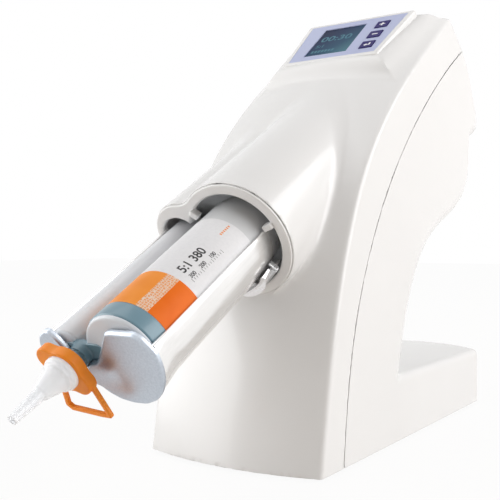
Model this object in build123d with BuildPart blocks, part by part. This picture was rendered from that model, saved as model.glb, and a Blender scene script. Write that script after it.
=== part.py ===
from build123d import *
from math import atan2, cos, degrees, hypot, pi, radians, sin, sqrt
import os

# Desktop mixer for two-part dental impression paste, in millimetres, +Z up.
#
# The machine stands on a low rounded foot. A hooked column carries a nose whose two sleeves
# point down and forwards. The nose holds a pair of paste barrels in a hinged metal tray, two
# plungers push the paste out, and a third shaft turns the rotor inside the clear mixing tip.
#
# Origin: on the table, in the middle of the width and of the whole depth. +Y points to the
# back. Pieces of the nose are drawn in its own frame: x across, v up and square to the
# barrels, and s along them, counted from the face of the collar towards the back.

# ---------------------------------------------------------------- driving dimensions
body_width = 160.0
foot_depth = 380.0
foot_height = 58.0
foot_corner = 34.0
foot_lift = 2.0  # the casing stands this far off the table, on its rubber feet
wall = 3.0
crown = 13.0  # how far the middle of the body bulges past its two flat sides
seam_gap = 0.5
fit = 0.3  # gap between neighbouring curved faces
running = 0.05  # radial gap of a shaft in its bearing
seat = 0.02  # radial gap of a part pushed into its hole

nose_angle = 30.0
collar_depth = -6.0  # collar centre, behind the casing's lower front edge
collar_height = 173.5
sleeve_r = 48.5
collar_bore_r = 39.5
collar_thickness = 6.0
small_sleeve_r = 25.6
small_sleeve_x = -37.0
small_sleeve_v = 7.0
small_bore_r = 18.2
small_bore_rise = 2.5  # the small opening's centre, above its barrel
nose_depth = 235.0  # how far back the sleeves run into the body
fairing_front = (3.0, 52.0, 40.0, 6.0)  # s, half width, reach below and above the barrels
fairing_rear = (141.0, 70.0, 44.0, 10.0)

# ---------------------------------------------------------------- paste barrels
barrel_x = 10.0
barrel_r = 29.4
barrel_wall = 1.4
paste_ratio = 5.0
small_barrel_wall = 1.5
shaft_r = 2.5
shaft_room = 0.7  # gap between the mixer shaft and each barrel
barrel_tail = 12.0  # how far the barrels reach in behind the collar face
barrel_front = 129.0
cap_length = 14.0
cap_dome = 3.0
cap_shoulder = 4.4
label_thickness = 0.2
label_rear = 20.0
piston_length = 9.0

bore_r = barrel_r - barrel_wall
small_inner_r = bore_r / sqrt(paste_ratio)
small_r = small_inner_r + small_barrel_wall
shaft_x = barrel_x - barrel_r - shaft_room - shaft_r
small_x = shaft_x - shaft_r - shaft_room - small_r

# ---------------------------------------------------------------- tray, tip and ring
tray_wall = 2.0
tray_r = barrel_r + fit + tray_wall
small_tray_r = small_r + fit + tray_wall
tray_rim_v = 9.0
tray_front = 146.5
front_plate_thickness = 4.0
front_plate_r = 34.0
front_plate_top = 21.0
tray_flange_length = 8.0
hinge_pin_r = 2.0
hinge_v = -(tray_r + 4.2)
hinge_s = -3.0
hinge_half_width = 12.0
hinge_ear = 4.0

outlet_r = 8.0
outlet_front = 158.0
ring_start = 158.3
ring_length = 9.0
ring_r = 15.0
ring_lobe_r = 8.5
ring_lobe_reach = 13.0
ring_turn = -42.0
bail_bar = 3.0
bail_left = -12.0
bail_right = 24.6
bail_low = -34.0
tip_base_r = 12.6
tip_neck_r = 3.4
tip_shoulder = 1.6
tip_cone_front = 188.0
tip_front = 213.0
tip_wall = 1.2
rotor_r = 1.9
hub_r = 5.0
hub_length = 5.0
vane_gap = 0.6

# ---------------------------------------------------------------- drive
stroke = 135.0
plunger_thickness = 7.0
rod_r = 7.0
small_rod_r = 5.0
plate_thickness = 6.0
front_frame_s = 152.0
crosshead_room = 15.0  # left in front of the crosshead at the end of its stroke
crosshead_thickness = 14.0
rear_room = 8.0  # between the crosshead and the rear frame plate
screw_x = -14.0
screw_v = -30.0
screw_r = 6.0
guide_r = 5.0
guide_v = -22.0
guide_right_x = 46.0
guide_left_x = -58.0
gear_module = 1.5
screw_gear_teeth = 36
pinion_teeth = 12
gear_width = 7.0
motor_r = 16.0
motor_length = 62.0
mixer_motor_r = 11.0
mixer_motor_length = 55.0
bulkhead_s = 26.0
bulkhead_thickness = 4.0

# ---------------------------------------------------------------- display and keys
fascia_depth = 161.3
fascia_height = 344.9
fascia_tilt = 37.8
fascia_slant = 78.5
fascia_bottom_width = 89.7
fascia_top_width = 104.6
fascia_thickness = 1.6
bezel_margin = 7.0
bezel_depth = 24.0
bezel_wall = 2.5
lcd_left = -32.9
lcd_right = 12.5
lcd_low = 9.4
lcd_top_margin = 10.2
lcd_thickness = 4.0
key_x = 32.0
key_width = 13.0
key_height = 13.5
key_first = 16.5
key_top_margin = 19.0
key_rise = 0.8
key_travel = 0.8
key_lip = 1.2

# ---------------------------------------------------------------- places worked out
nose_cos = cos(radians(nose_angle))
nose_sin = sin(radians(nose_angle))
tip_reach = -collar_depth + tip_front * nose_cos + tip_neck_r * nose_sin
front_y = (tip_reach - foot_depth) / 2
half_width = body_width / 2
lcd_high = fascia_slant - lcd_top_margin
key_pitch = (fascia_slant - key_first - key_top_margin) / 2
crosshead_s = front_frame_s + plate_thickness + stroke + crosshead_room
rear_frame_s = crosshead_s + crosshead_thickness + rear_room


def nose(s):
    """The plane square to the barrels, s behind the collar face; its normal points out."""
    return Plane(
        origin=(0, front_y + collar_depth + s * nose_cos, collar_height + s * nose_sin),
        x_dir=(1, 0, 0),
        z_dir=(0, -nose_cos, -nose_sin),
    )


def at(depth, height):
    """A point of the side view, from its depth behind the lower front edge and its height."""
    return (front_y + depth, height)


fascia = Plane(
    origin=(0, front_y + fascia_depth, fascia_height),
    x_dir=(1, 0, 0),
    z_dir=(0, -sin(radians(fascia_tilt)), cos(radians(fascia_tilt))),
)


def save(piece, name):
    """Labels a finished piece and writes its STEP file."""
    piece.label = name
    export_step(piece, f"parts/{name}.step")


os.makedirs("parts", exist_ok=True)


# ================================================================ casing
front_curve = [(0, 0), (28, 129), (79, 237), (138, 300), (207, 353), (262, 391)]
top_rear_curve = [(262, 391), (299, 368), (330, 340), (352, 309)]
step_line = [(352, 309), (350, 291), (329, 284)]
under_curve = [(329, 284), (319, 230), (262, 196), (204, 166), (168, 121), (144, 58)]
seam_curve = [(33, -20), (35, 0), (53, 102), (108, 207), (215, 312), (299, 368), (345, 392)]


def moved(points, distance):
    """The points of an open outline, drawn clockwise, each moved outwards by a distance."""
    result = []
    for index, (depth, height) in enumerate(points):
        before = points[max(index - 1, 0)]
        after = points[min(index + 1, len(points) - 1)]
        run, rise = after[0] - before[0], after[1] - before[1]
        length = hypot(run, rise)
        result.append((depth - distance * rise / length, height + distance * run / length))
    return result


def body_sketch(x, grow, low):
    """The side outline at x, grown outwards, standing on the height low."""
    outline = front_curve + top_rear_curve[1:] + step_line[1:] + under_curve[1:]
    outline = [at(*point) for point in moved(outline, grow)]
    front_stop = len(front_curve)
    top_stop = front_stop + len(top_rear_curve) - 1
    step_stop = top_stop + len(step_line) - 1
    front = [(outline[0][0], low)] + outline[1:front_stop]
    under = outline[step_stop - 1 :]
    with BuildSketch(Plane.YZ.offset(x)) as section:
        with BuildLine():
            Spline(*front)
            Spline(*outline[front_stop - 1 : top_stop])
            Polyline(*outline[top_stop - 1 : step_stop])
            Spline(*under)
            Polyline(under[-1], (under[-1][0], low), (front[0][0], low))
        make_face()
    return section.sketch


def body_solid(half, grow, low):
    """The crowned body, half wide to each side, its outline grown outwards."""
    with BuildPart() as solid:
        for x, bulge in ((-half, 0), (0, crown), (half, 0)):
            add(body_sketch(x, grow + bulge, low))
        loft()
    return solid.part


def seam_zone(shift):
    """Everything in front of the seam between the two casing halves."""
    points = [at(depth + shift, height) for depth, height in seam_curve]
    with BuildPart() as zone:
        with BuildSketch(Plane.YZ.offset(-body_width)):
            with BuildLine():
                Spline(*points)
                far, top = front_y - body_width, points[-1][1] + body_width
                Polyline(points[-1], (points[-1][0], top), (far, top), (far, points[0][1]), points[0])
            make_face()
        extrude(amount=2 * body_width)
    return zone.part


def plan_sketch(plane, inset, front):
    """The foot seen from above, bulged at the front and round at the back."""
    half = half_width - inset
    back = front_y + foot_depth - inset
    with BuildSketch(plane) as outline:
        with BuildLine():
            Line((-half, back - foot_corner), (-half, front))
            ThreePointArc((-half, front), (0, front - crown + wall), (half, front))
            Line((half, front), (half, back - foot_corner))
            ThreePointArc((half, back - foot_corner), (0, back), (-half, back - foot_corner))
        make_face()
        fillet(outline.vertices().group_by(Axis.Y)[-1], radius=foot_corner - inset)
    return outline.sketch


def foot_solid(inset, low):
    """The foot: a slab with a round back, which the column stands on."""
    front = front_y + seam_curve[1][0]
    back = front_y + foot_depth
    with BuildPart() as slab:
        extrude(plan_sketch(Plane.XY.offset(low), inset, front), amount=foot_height - inset - low)
        if inset == 0:
            rim = slab.edges().group_by(Axis.Z)[-1].filter_by_position(Axis.Y, front + 1, back + 1)
            fillet(rim, radius=2 * wall)
    return slab.part


def sleeve_sketch(plane, grow):
    """The joined outline of the large and the small sleeve."""
    with BuildSketch(plane) as outline:
        with Locations((barrel_x, 0)):
            Circle(sleeve_r + grow)
        with Locations((small_sleeve_x, small_sleeve_v)):
            Circle(small_sleeve_r + grow)
        bridge = [
            (small_sleeve_x, small_sleeve_v + small_sleeve_r + grow),
            (barrel_x, sleeve_r - 2 * wall + grow),
            (barrel_x, -sleeve_r + 2 * wall - grow),
            (small_sleeve_x, small_sleeve_v - small_sleeve_r - grow),
        ]
        with BuildLine():
            Polyline(*bridge, close=True)
        make_face()
    return outline.sketch



def sleeve_solid(start, stop, grow):
    """The joined sleeves between two distances behind the collar face."""
    with BuildPart() as solid:
        extrude(sleeve_sketch(nose(start), grow), amount=start - stop)
    return solid.part


def bores(start, stop, large, small):
    """Two round passages along the barrels."""
    with BuildPart() as solid:
        with BuildSketch(nose(start)):
            with Locations((barrel_x, 0)):
                Circle(large)
            with Locations((small_x + fit, small_bore_rise)):
                Circle(small)
        extrude(amount=start - stop)
    return solid.part


def fairing_solid(grow):
    """The flare that leads the lower half of the sleeves into the body."""
    with BuildPart() as solid:
        for s, half, drop, rise in (fairing_front, fairing_rear):
            height = drop + rise + 2 * grow
            with BuildSketch(nose(s)):
                with Locations((0, (rise - drop) / 2)):
                    RectangleRounded(2 * (half + grow), height, height / 2 - 1)
        loft()
    return solid.part


def fascia_sketch(plane, grow):
    """The display plate's outline, wider at the top."""
    with BuildSketch(plane) as outline:
        with BuildLine():
            Polyline(
                (-fascia_bottom_width / 2, 0),
                (fascia_bottom_width / 2, 0),
                (fascia_top_width / 2, fascia_slant),
                (-fascia_top_width / 2, fascia_slant),
                close=True,
            )
        make_face()
        if grow:
            offset(amount=grow)
    return outline.sketch


def fascia_block(top, depth, grow):
    """A block under the display plate's outline, from top down by depth."""
    with BuildPart() as solid:
        extrude(fascia_sketch(fascia.offset(top), grow), amount=-depth)
    return solid.part


base_inset = wall + fit
base_front = front_y + base_inset + wall
base_thickness = 3.0
base_top = foot_lift + base_thickness
rubber_r = 9.0
rubber_inset = 36.0
rubber_height = foot_lift + 1.0
foot_chamfer = 0.6
post_r = 5.0
rear_post_inset = 55.0
bracket_front = 62.0  # where the side brackets stand on the base, behind the front edge
bracket_rear = 120.0
bracket_hole_inset = 7.5
casing_screw_r = 1.5
casing_screw_head_r = 3.0
casing_screw_head = 2.2
casing_screw_grip = 9.0
foot_places = [
    (side * (half_width - rubber_inset), y)
    for side in (-1, 1)
    for y in (front_y + rubber_inset, front_y + foot_depth - foot_corner - rubber_inset)
]
post_x = half_width - wall - post_r + 1
post_depths = [18.0, 52.0, foot_depth - rear_post_inset]
post_places = [(side * post_x, front_y + depth) for side in (-1, 1) for depth in post_depths]
bracket_hole_x = 58.0
bracket_depths = [bracket_front + bracket_hole_inset, bracket_rear - bracket_hole_inset]
bracket_places = [(side * bracket_hole_x, front_y + depth) for side in (-1, 1) for depth in bracket_depths]
screw_places = post_places + bracket_places

post_height = 22.0
panel_height = 29.0
panel_recess = 10.0
panel_thickness = 2.5
panel_margin = 2.5
window_width = 62.0
window_height = 34.0

outer_body = body_solid(half_width, 0, foot_lift)
inner_body = body_solid(half_width - wall, -wall, foot_lift - wall)
front_zone = seam_zone(0)
front_zone_wide = seam_zone(seam_gap)
bezel_hole = fascia_block(body_width / 4, body_width / 2, bezel_margin + fit)

with BuildPart() as posts:
    with BuildSketch(Plane.XY.offset(base_top)):
        with Locations(*post_places):
            Circle(post_r)
            Circle(casing_screw_r, mode=Mode.SUBTRACT)
    extrude(amount=post_height)

with BuildPart() as front_housing:
    add(outer_body)
    add(front_zone, mode=Mode.INTERSECT)
    add(sleeve_solid(0, nose_depth, 0))
    add(fairing_solid(0))
    add(inner_body, mode=Mode.SUBTRACT)
    add(sleeve_solid(-1, nose_depth - wall, -wall), mode=Mode.SUBTRACT)
    add(fairing_solid(-wall), mode=Mode.SUBTRACT)
    add(bezel_hole, mode=Mode.SUBTRACT)
    add(posts.part & front_zone)
save(front_housing.part, "front_housing")

with BuildPart() as rear_housing:
    add(outer_body)
    add(foot_solid(0, foot_lift))
    add(inner_body, mode=Mode.SUBTRACT)
    add(foot_solid(wall, foot_lift - wall), mode=Mode.SUBTRACT)
    add(posts.part)
    add(front_zone_wide, mode=Mode.SUBTRACT)
    with BuildSketch(Plane.XZ.offset(-front_y - foot_depth - 1)):
        with Locations((0, panel_height)):
            RectangleRounded(window_width, window_height, wall)
    extrude(amount=panel_recess, mode=Mode.SUBTRACT)
save(rear_housing.part, "rear_housing")



# ================================================================ base
with BuildPart() as base_plate:
    extrude(plan_sketch(Plane.XY.offset(foot_lift), base_inset, base_front), amount=base_thickness)
    for places, radius, depth in (
        (foot_places, rubber_r + running, rubber_height - foot_lift),
        (screw_places, casing_screw_r + fit, base_thickness),
        (screw_places, casing_screw_head_r + fit, casing_screw_head),
    ):
        with BuildSketch(Plane.XY.offset(foot_lift)):
            with Locations(*places):
                Circle(radius)
        extrude(amount=depth, mode=Mode.SUBTRACT)
save(base_plate.part, "base_plate")

with BuildPart() as rubber_feet:
    with BuildSketch():
        with Locations(*foot_places):
            Circle(rubber_r)
    extrude(amount=rubber_height)
    chamfer(rubber_feet.edges().group_by(Axis.Z)[0], length=foot_chamfer)
save(rubber_feet.part, "rubber_feet")

# ================================================================ display
key_places = [(key_x, key_first + index * key_pitch) for index in range(3)]
key_names = ["key_enter", "key_minus", "key_plus"]
window_centre = ((lcd_left + lcd_right) / 2, (lcd_low + lcd_high) / 2)
window_size = (lcd_right - lcd_left, lcd_high - lcd_low)
board_thickness = 1.6
contact_height = 3.0  # of the key contacts on the board
board_top = -fascia_thickness - key_lip - key_travel - 2 * fit - contact_height
key_corner = 1.3
lcd_margin = 2.0

with BuildPart() as bezel:
    add(fascia_block(0, bezel_depth, bezel_margin))
    add(fascia_block(0, fascia_thickness, seat), mode=Mode.SUBTRACT)
    add(fascia_block(0, bezel_depth, -bezel_wall), mode=Mode.SUBTRACT)
save(bezel.part, "display_bezel")

with BuildPart() as plate:
    add(fascia_block(0, fascia_thickness, 0))
    with BuildSketch(fascia):
        with Locations(window_centre):
            Rectangle(*window_size)
        with Locations(*key_places):
            RectangleRounded(key_width + 2 * fit, key_height + 2 * fit, key_corner + fit)
    extrude(amount=-fascia_thickness, mode=Mode.SUBTRACT)
save(plate.part, "display_plate")

with BuildPart() as lcd:
    with BuildSketch(fascia.offset(-fascia_thickness)):
        with Locations(window_centre):
            Rectangle(window_size[0] + 2 * lcd_margin, window_size[1] + 2 * lcd_margin)
    extrude(amount=-lcd_thickness)
    with BuildSketch(fascia.offset(-fascia_thickness)):
        with Locations(window_centre):
            Rectangle(window_size[0] - fit, window_size[1] - fit)
    extrude(amount=fascia_thickness / 2)
save(lcd.part, "lcd_module")

for name, place in zip(key_names, key_places):
    with BuildPart() as key:
        with BuildSketch(fascia.offset(key_rise)):
            with Locations(place):
                RectangleRounded(key_width, key_height, key_corner)
        extrude(amount=-key_rise - fascia_thickness - fit)
        with BuildSketch(fascia.offset(-fascia_thickness - fit)):
            with Locations(place):
                Rectangle(key_width + 2 * key_lip, key_height + 2 * key_lip)
        extrude(amount=-key_lip)
    save(key.part, name)

with BuildPart() as board:
    add(fascia_block(board_top, board_thickness, -bezel_wall - seat))
    with BuildSketch(fascia.offset(board_top)):
        with Locations(*key_places):
            Rectangle(key_width / 2, key_height / 2)
    extrude(amount=contact_height - fit)
save(board.part, "control_board")

# ================================================================ paste barrels


def barrel(x, outside, inside):
    """A round paste barrel, open at both ends."""
    with BuildPart() as tube:
        with BuildSketch(nose(barrel_tail)):
            with Locations((x, 0)):
                Circle(outside)
                Circle(inside, mode=Mode.SUBTRACT)
        extrude(amount=barrel_tail + barrel_front + cap_length)
    return tube.part


save(barrel(barrel_x, barrel_r, bore_r), "large_barrel")
save(barrel(small_x, small_r, small_inner_r), "small_barrel")

with BuildPart() as label:
    with BuildSketch(nose(-label_rear)):
        with Locations((barrel_x, 0)):
            Circle(barrel_r + label_thickness)
            Circle(barrel_r, mode=Mode.SUBTRACT)
    extrude(amount=barrel_front - label_rear)
save(label.part, "barrel_label")

cap_start = barrel_front + cap_length
with BuildPart() as cap:
    with BuildSketch(nose(-cap_start)):
        with Locations((barrel_x, 0)):
            Circle(barrel_r)
    with BuildSketch(nose(-cap_start - cap_dome / 2)):
        with Locations((barrel_x, 0)):
            Circle(barrel_r - cap_shoulder)
    loft()
    with BuildSketch(nose(-cap_start)):
        with Locations((small_x, 0)):
            Circle(small_r)
    extrude(amount=cap_dome / 2)
    with BuildSketch(nose(-cap_start)):
        with Locations((shaft_x, 0)):
            Circle(outlet_r)
    extrude(amount=outlet_front - cap_start)
    with BuildSketch(nose(-cap_start)):
        with Locations((shaft_x, 0)):
            Circle(shaft_r + shaft_room)
    extrude(amount=outlet_front - cap_start, mode=Mode.SUBTRACT)
save(cap.part, "barrel_cap")


def piston(x, inside):
    """A paste piston, its front edge rounded."""
    with BuildPart() as disc:
        with BuildSketch(nose(barrel_tail)):
            with Locations((x, 0)):
                Circle(inside - running)
        extrude(amount=piston_length)
        fillet(disc.edges().sort_by(Axis.Y)[0], radius=piston_length / 4)
    return disc.part


save(piston(barrel_x, bore_r), "large_piston")
save(piston(small_x, small_inner_r), "small_piston")

# ================================================================ tray that holds the barrels


def tray_sketch(plane, large, small, rim):
    """The area below the tray's rim, around both barrels."""
    with BuildSketch(plane) as area:
        with Locations((barrel_x, 0)):
            Circle(large)
        with Locations((small_x, 0)):
            Circle(small)
        with Locations((0, rim)):
            Rectangle(2 * body_width, body_width, align=(Align.CENTER, Align.MIN), mode=Mode.SUBTRACT)
    return area.sketch


knuckle_width = 2 * (hinge_half_width - hinge_ear)
knuckle_r = 1.75 * hinge_pin_r
knuckle_top = -(tray_r - tray_wall * 0.75)
web_thickness = 2.8
web_v = -small_tray_r + web_thickness / 2
front_lip = 1.0
pin_plane = Plane(nose(hinge_s).origin, x_dir=(0, nose_cos, nose_sin), z_dir=(1, 0, 0))
shaft_channel = outlet_r + fit

lever_angle = -48.0
lever_r = tray_r + 4.6
lever_thickness = 1.8
lever_half_span = 17.0
lever_reach = 16.0
lever_pivot_s = -8.0
lever_tail = 16.0
lever_pin_r = 1.5
lever_out = (cos(radians(lever_angle)), sin(radians(lever_angle)))
lever_origin = nose(lever_pivot_s).from_local_coords(
    Vector(barrel_x + lever_r * lever_out[0], lever_r * lever_out[1], 0)
)
lever_axis = nose(0).x_dir * -lever_out[1] + nose(0).y_dir * lever_out[0]
lever_pin_plane = Plane(lever_origin, x_dir=(0, nose_cos, nose_sin), z_dir=lever_axis)
lever_boss = 2.6
lever_pin_half = 13.4
lever_lug = 2.0

with BuildPart() as tray:
    extrude(tray_sketch(nose(-fit), tray_r, small_tray_r, tray_rim_v), amount=tray_front - fit)
    flange_plane = nose(-tray_front + tray_flange_length)
    flange = tray_sketch(flange_plane, front_plate_r, small_tray_r + front_lip, tray_rim_v)
    extrude(flange, amount=tray_flange_length)
    with BuildSketch(nose(-fit)):
        with Locations(((barrel_x + small_x) / 2, web_v)):
            Rectangle(barrel_x - small_x, web_thickness)
    extrude(amount=tray_front - fit)
    with BuildSketch(nose(fit)):
        with Locations((barrel_x, 0)):
            Circle(barrel_r + fit)
        with Locations((small_x, 0)):
            Circle(small_r + fit)
        with Locations((shaft_x, -shaft_channel)):
            Rectangle(2 * shaft_channel, body_width, align=(Align.CENTER, Align.MIN))
    extrude(amount=tray_front + 2 * fit, mode=Mode.SUBTRACT)
    with BuildSketch(pin_plane.offset(barrel_x - knuckle_width / 2)):
        with Locations((0, hinge_v)):
            Circle(knuckle_r)
        with Locations((-knuckle_r, (hinge_v + knuckle_top) / 2)):
            Rectangle(2 * knuckle_r, knuckle_top - hinge_v)
        with Locations((0, hinge_v)):
            Circle(hinge_pin_r + running, mode=Mode.SUBTRACT)
    extrude(amount=knuckle_width)
    for start in (-lever_pin_half, lever_pin_half - lever_lug):
        with BuildSketch(lever_pin_plane.offset(start)):
            with Locations((0, (lever_r - tray_r) / 2)):
                Rectangle(2 * lever_boss, lever_r - tray_r + 2 * lever_boss)
            Circle(lever_pin_r + seat, mode=Mode.SUBTRACT)
        extrude(amount=lever_lug)
save(tray.part, "barrel_tray")

with BuildPart() as front_plate:
    with BuildSketch(nose(-tray_front)):
        with Locations((barrel_x, 0)):
            Circle(front_plate_r)
        with Locations((small_x, 0)):
            Circle(small_tray_r + front_lip)
        with Locations((0, front_plate_top)):
            Rectangle(body_width, body_width, align=(Align.CENTER, Align.MIN), mode=Mode.SUBTRACT)
        with Locations(((barrel_x + small_x) / 2, web_v)):
            Rectangle(barrel_x - small_x, 2 * outlet_r)
        with Locations((shaft_x, 0)):
            Circle(outlet_r + fit, mode=Mode.SUBTRACT)
        with BuildLine():
            Polyline(
                (shaft_x - outlet_r - fit, 0),
                (shaft_x + outlet_r + fit, 0),
                (barrel_x, front_plate_top + front_lip),
                (small_x, front_plate_top + front_lip),
                close=True,
            )
        make_face(mode=Mode.SUBTRACT)
    extrude(amount=front_plate_thickness)
save(front_plate.part, "tray_front_plate")

with BuildPart() as hinge_pin:
    with BuildSketch(pin_plane.offset(barrel_x - hinge_half_width)):
        with Locations((0, hinge_v)):
            Circle(hinge_pin_r)
    extrude(amount=2 * hinge_half_width)
save(hinge_pin.part, "tray_hinge_pin")

with BuildPart() as nose_collar:
    add(sleeve_solid(0, collar_thickness, -wall - fit))
    add(bores(-1, collar_thickness + 1, collar_bore_r, small_bore_r), mode=Mode.SUBTRACT)
    for side in (-1, 1):
        ear = barrel_x + side * (hinge_half_width - hinge_ear / 2 + fit / 2)
        ear_width = hinge_ear - fit
        with BuildSketch(pin_plane.offset(ear - ear_width / 2)):
            with Locations((0, hinge_v)):
                Circle(knuckle_r)
            with Locations((0, hinge_v - knuckle_r)):
                Rectangle(-hinge_s + collar_thickness, 2 * knuckle_r, align=(Align.MIN, Align.MIN))
            with Locations((0, hinge_v)):
                Circle(hinge_pin_r + seat, mode=Mode.SUBTRACT)
        extrude(amount=ear_width)
    with BuildSketch(nose(-1)):
        with Locations((barrel_x, hinge_v)):
            Rectangle(2 * hinge_half_width - 2 * hinge_ear, 2 * knuckle_r + 1)
    extrude(amount=-collar_thickness, mode=Mode.SUBTRACT)
save(nose_collar.part, "nose_collar")

# ================================================================ release lever


def arc_sector(plane, inside, outside, middle, half_span):
    """A stretch of ring around the large barrel."""
    with BuildSketch(plane) as sector:
        with Locations((barrel_x, 0)):
            Circle(outside)
            Circle(inside, mode=Mode.SUBTRACT)
        reach = 2 * outside
        corner = [
            (barrel_x + reach * cos(radians(middle + turn)), reach * sin(radians(middle + turn)))
            for turn in (-half_span, half_span)
        ]
        with BuildLine():
            Polyline((barrel_x, 0), *corner, close=True)
        make_face(mode=Mode.INTERSECT)
    return sector.sketch


with BuildPart() as lever:
    half_blade = lever_thickness / 2
    inside, outside = lever_r - half_blade, lever_r + half_blade
    blade_plane = nose(lever_pivot_s + lever_tail)
    blade = arc_sector(blade_plane, inside, outside, lever_angle, lever_half_span)
    extrude(blade, amount=lever_tail + lever_reach)
    boss_half = lever_pin_half - lever_lug - fit
    with BuildSketch(lever_pin_plane.offset(-boss_half)):
        Circle(lever_boss)
    extrude(amount=2 * boss_half)
    with BuildSketch(lever_pin_plane.offset(-lever_pin_half)):
        Circle(lever_pin_r + running)
    extrude(amount=2 * lever_pin_half, mode=Mode.SUBTRACT)
save(lever.part, "release_lever")

with BuildPart() as lever_pin:
    with BuildSketch(lever_pin_plane.offset(-lever_pin_half)):
        Circle(lever_pin_r)
    extrude(amount=2 * lever_pin_half)
save(lever_pin.part, "release_lever_pin")

# ================================================================ mixing tip and locking ring
tip_base_length = 11.0
shaft_line_plane = Plane(
    nose(0).from_local_coords(Vector(shaft_x, 0, 0)), x_dir=(1, 0, 0), z_dir=nose(0).y_dir
)
shaft_axis = Axis(shaft_line_plane.origin, nose(0).z_dir)


def turned(points):
    """A solid turned about the mixer shaft's axis from (radius, distance in front) points."""
    with BuildPart() as solid:
        with BuildSketch(shaft_line_plane) as section:
            with BuildLine():
                profile = [(radius, -front) for radius, front in points]
                Polyline((0, profile[0][1]), *profile, (0, profile[-1][1]), close=True)
            make_face()
        revolve(axis=shaft_axis)
    return solid.part


def tip_profile(grow, start, stop):
    """The tip's outline: a short drum, a cone and a tube."""
    return [
        (tip_base_r + grow, start),
        (tip_base_r + grow, ring_start + tip_base_length + grow),
        (tip_neck_r + tip_shoulder + grow, tip_cone_front),
        (tip_neck_r + grow, stop),
    ]


with BuildPart() as tip:
    add(turned(tip_profile(0, ring_start, tip_front)))
    add(turned(tip_profile(-tip_wall, ring_start - 1, tip_front + 1)), mode=Mode.SUBTRACT)
save(tip.part, "mixing_tip")

rotor_start = outlet_front + fit
vane_thickness = 1.4
vane_length = 3.2
vane_pitch = 4.6
vane_count = 5
vane_turn = 36.0
rotor_room = 6.0  # between the rotor and the tip's mouth
with BuildPart() as rotor:
    with BuildSketch(nose(-rotor_start)):
        with Locations((shaft_x, 0)):
            Circle(hub_r)
    extrude(amount=hub_length)
    with BuildSketch(nose(-rotor_start)):
        with Locations((shaft_x, 0)):
            Circle(rotor_r)
    extrude(amount=tip_front - rotor_room - rotor_start)
    for index in range(vane_count):
        front = rotor_start + hub_length + vane_pitch * index
        slope = (tip_base_r - tip_neck_r - tip_shoulder) / (tip_cone_front - ring_start - tip_base_length)
        past_drum = max(0, front + vane_length - ring_start - tip_base_length + tip_wall)
        vane_r = tip_base_r - tip_wall - vane_gap - slope * past_drum
        with BuildSketch(nose(-front)):
            with Locations(Location((shaft_x, 0), vane_turn * index)):
                Rectangle(2 * vane_r, vane_thickness)
                Rectangle(vane_thickness, 2 * vane_r)
        extrude(amount=vane_length)
save(rotor.part, "mixing_rotor")

with BuildPart() as ring:
    with BuildSketch(nose(-ring_start)):
        with Locations((shaft_x, 0)):
            Circle(ring_r)
        with Locations(Location((shaft_x, 0), ring_turn)):
            with Locations((-ring_lobe_reach, 0), (ring_lobe_reach, 0)):
                Circle(ring_lobe_r)
        with Locations((shaft_x, 0)):
            Circle(tip_base_r + running, mode=Mode.SUBTRACT)
    extrude(amount=ring_length)
    bail_outside = [
        (shaft_x + bail_left, -ring_r / 2),
        (shaft_x + bail_left - bail_bar, bail_low + bail_bar / 2),
        (shaft_x + bail_right, bail_low),
        (shaft_x + bail_right, -ring_r / 2),
    ]
    with BuildSketch(nose(-ring_start - bail_bar)):
        with BuildLine():
            Polyline(*bail_outside, close=True)
        make_face()
        offset(amount=-bail_bar, mode=Mode.SUBTRACT)
        with Locations((shaft_x, 0)):
            Circle(tip_base_r + running, mode=Mode.SUBTRACT)
    extrude(amount=bail_bar)
save(ring.part, "locking_ring")

# ================================================================ mixer shaft and its drive
tongue_length = 3.0
tongue_thickness = 1.6
shaft_rear = 15.0
spindle_r = 3.0
spindle_front = shaft_rear + fit
mixer_motor_s = front_frame_s - mixer_motor_length
bush_r = 5.5
bush_length = 8.0
bush_front = 2.0  # how far the bush stands out in front of the bulkhead


def rod(plane, x, v, radius, length):
    """A round bar along the barrels, running forwards from a plane of the nose."""
    with BuildPart() as bar:
        with BuildSketch(plane):
            with Locations((x, v)):
                Circle(radius)
        extrude(amount=length)
    return bar.part


with BuildPart() as shaft:
    add(rod(nose(shaft_rear), shaft_x, 0, shaft_r, shaft_rear + outlet_front))
    with BuildSketch(nose(shaft_rear + tongue_length)):
        with Locations((shaft_x, 0)):
            Rectangle(tongue_thickness, 2 * shaft_r - 1)
    extrude(amount=tongue_length)
save(shaft.part, "mixer_shaft")

with BuildPart() as spindle:
    add(rod(nose(mixer_motor_s), shaft_x, 0, spindle_r, mixer_motor_s - spindle_front))
    with BuildSketch(nose(spindle_front)):
        with Locations((shaft_x, 0)):
            Rectangle(tongue_thickness + 2 * running, 2 * spindle_r + 1)
    extrude(amount=-tongue_length - fit, mode=Mode.SUBTRACT)
save(spindle.part, "mixer_spindle")

save(rod(nose(front_frame_s), shaft_x, 0, mixer_motor_r, mixer_motor_length), "mixer_motor")

with BuildPart() as bush:
    behind = nose(bulkhead_s + bush_length)
    add(rod(nose(bulkhead_s + bush_length - bush_front), shaft_x, 0, bush_r, bush_length))
    add(rod(behind, shaft_x, 0, spindle_r + running, 2 * bush_length), mode=Mode.SUBTRACT)
save(bush.part, "spindle_bush")

with BuildPart() as bulkhead:
    rear = nose(bulkhead_s + bulkhead_thickness)
    extrude(sleeve_sketch(rear, -wall - fit), amount=bulkhead_thickness)
    with BuildSketch(rear):
        with Locations((barrel_x, 0)):
            Circle(rod_r + 2 * fit)
        with Locations((small_x, 0)):
            Circle(small_rod_r + 2 * fit)
        with Locations((shaft_x, 0)):
            Circle(bush_r + seat)
    extrude(amount=bulkhead_thickness, mode=Mode.SUBTRACT)
save(bulkhead.part, "nose_bulkhead")

# ================================================================ plunger drive
plunger_s = barrel_tail + fit
disc_clearance = 0.5
rod_seat = 8.0


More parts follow.
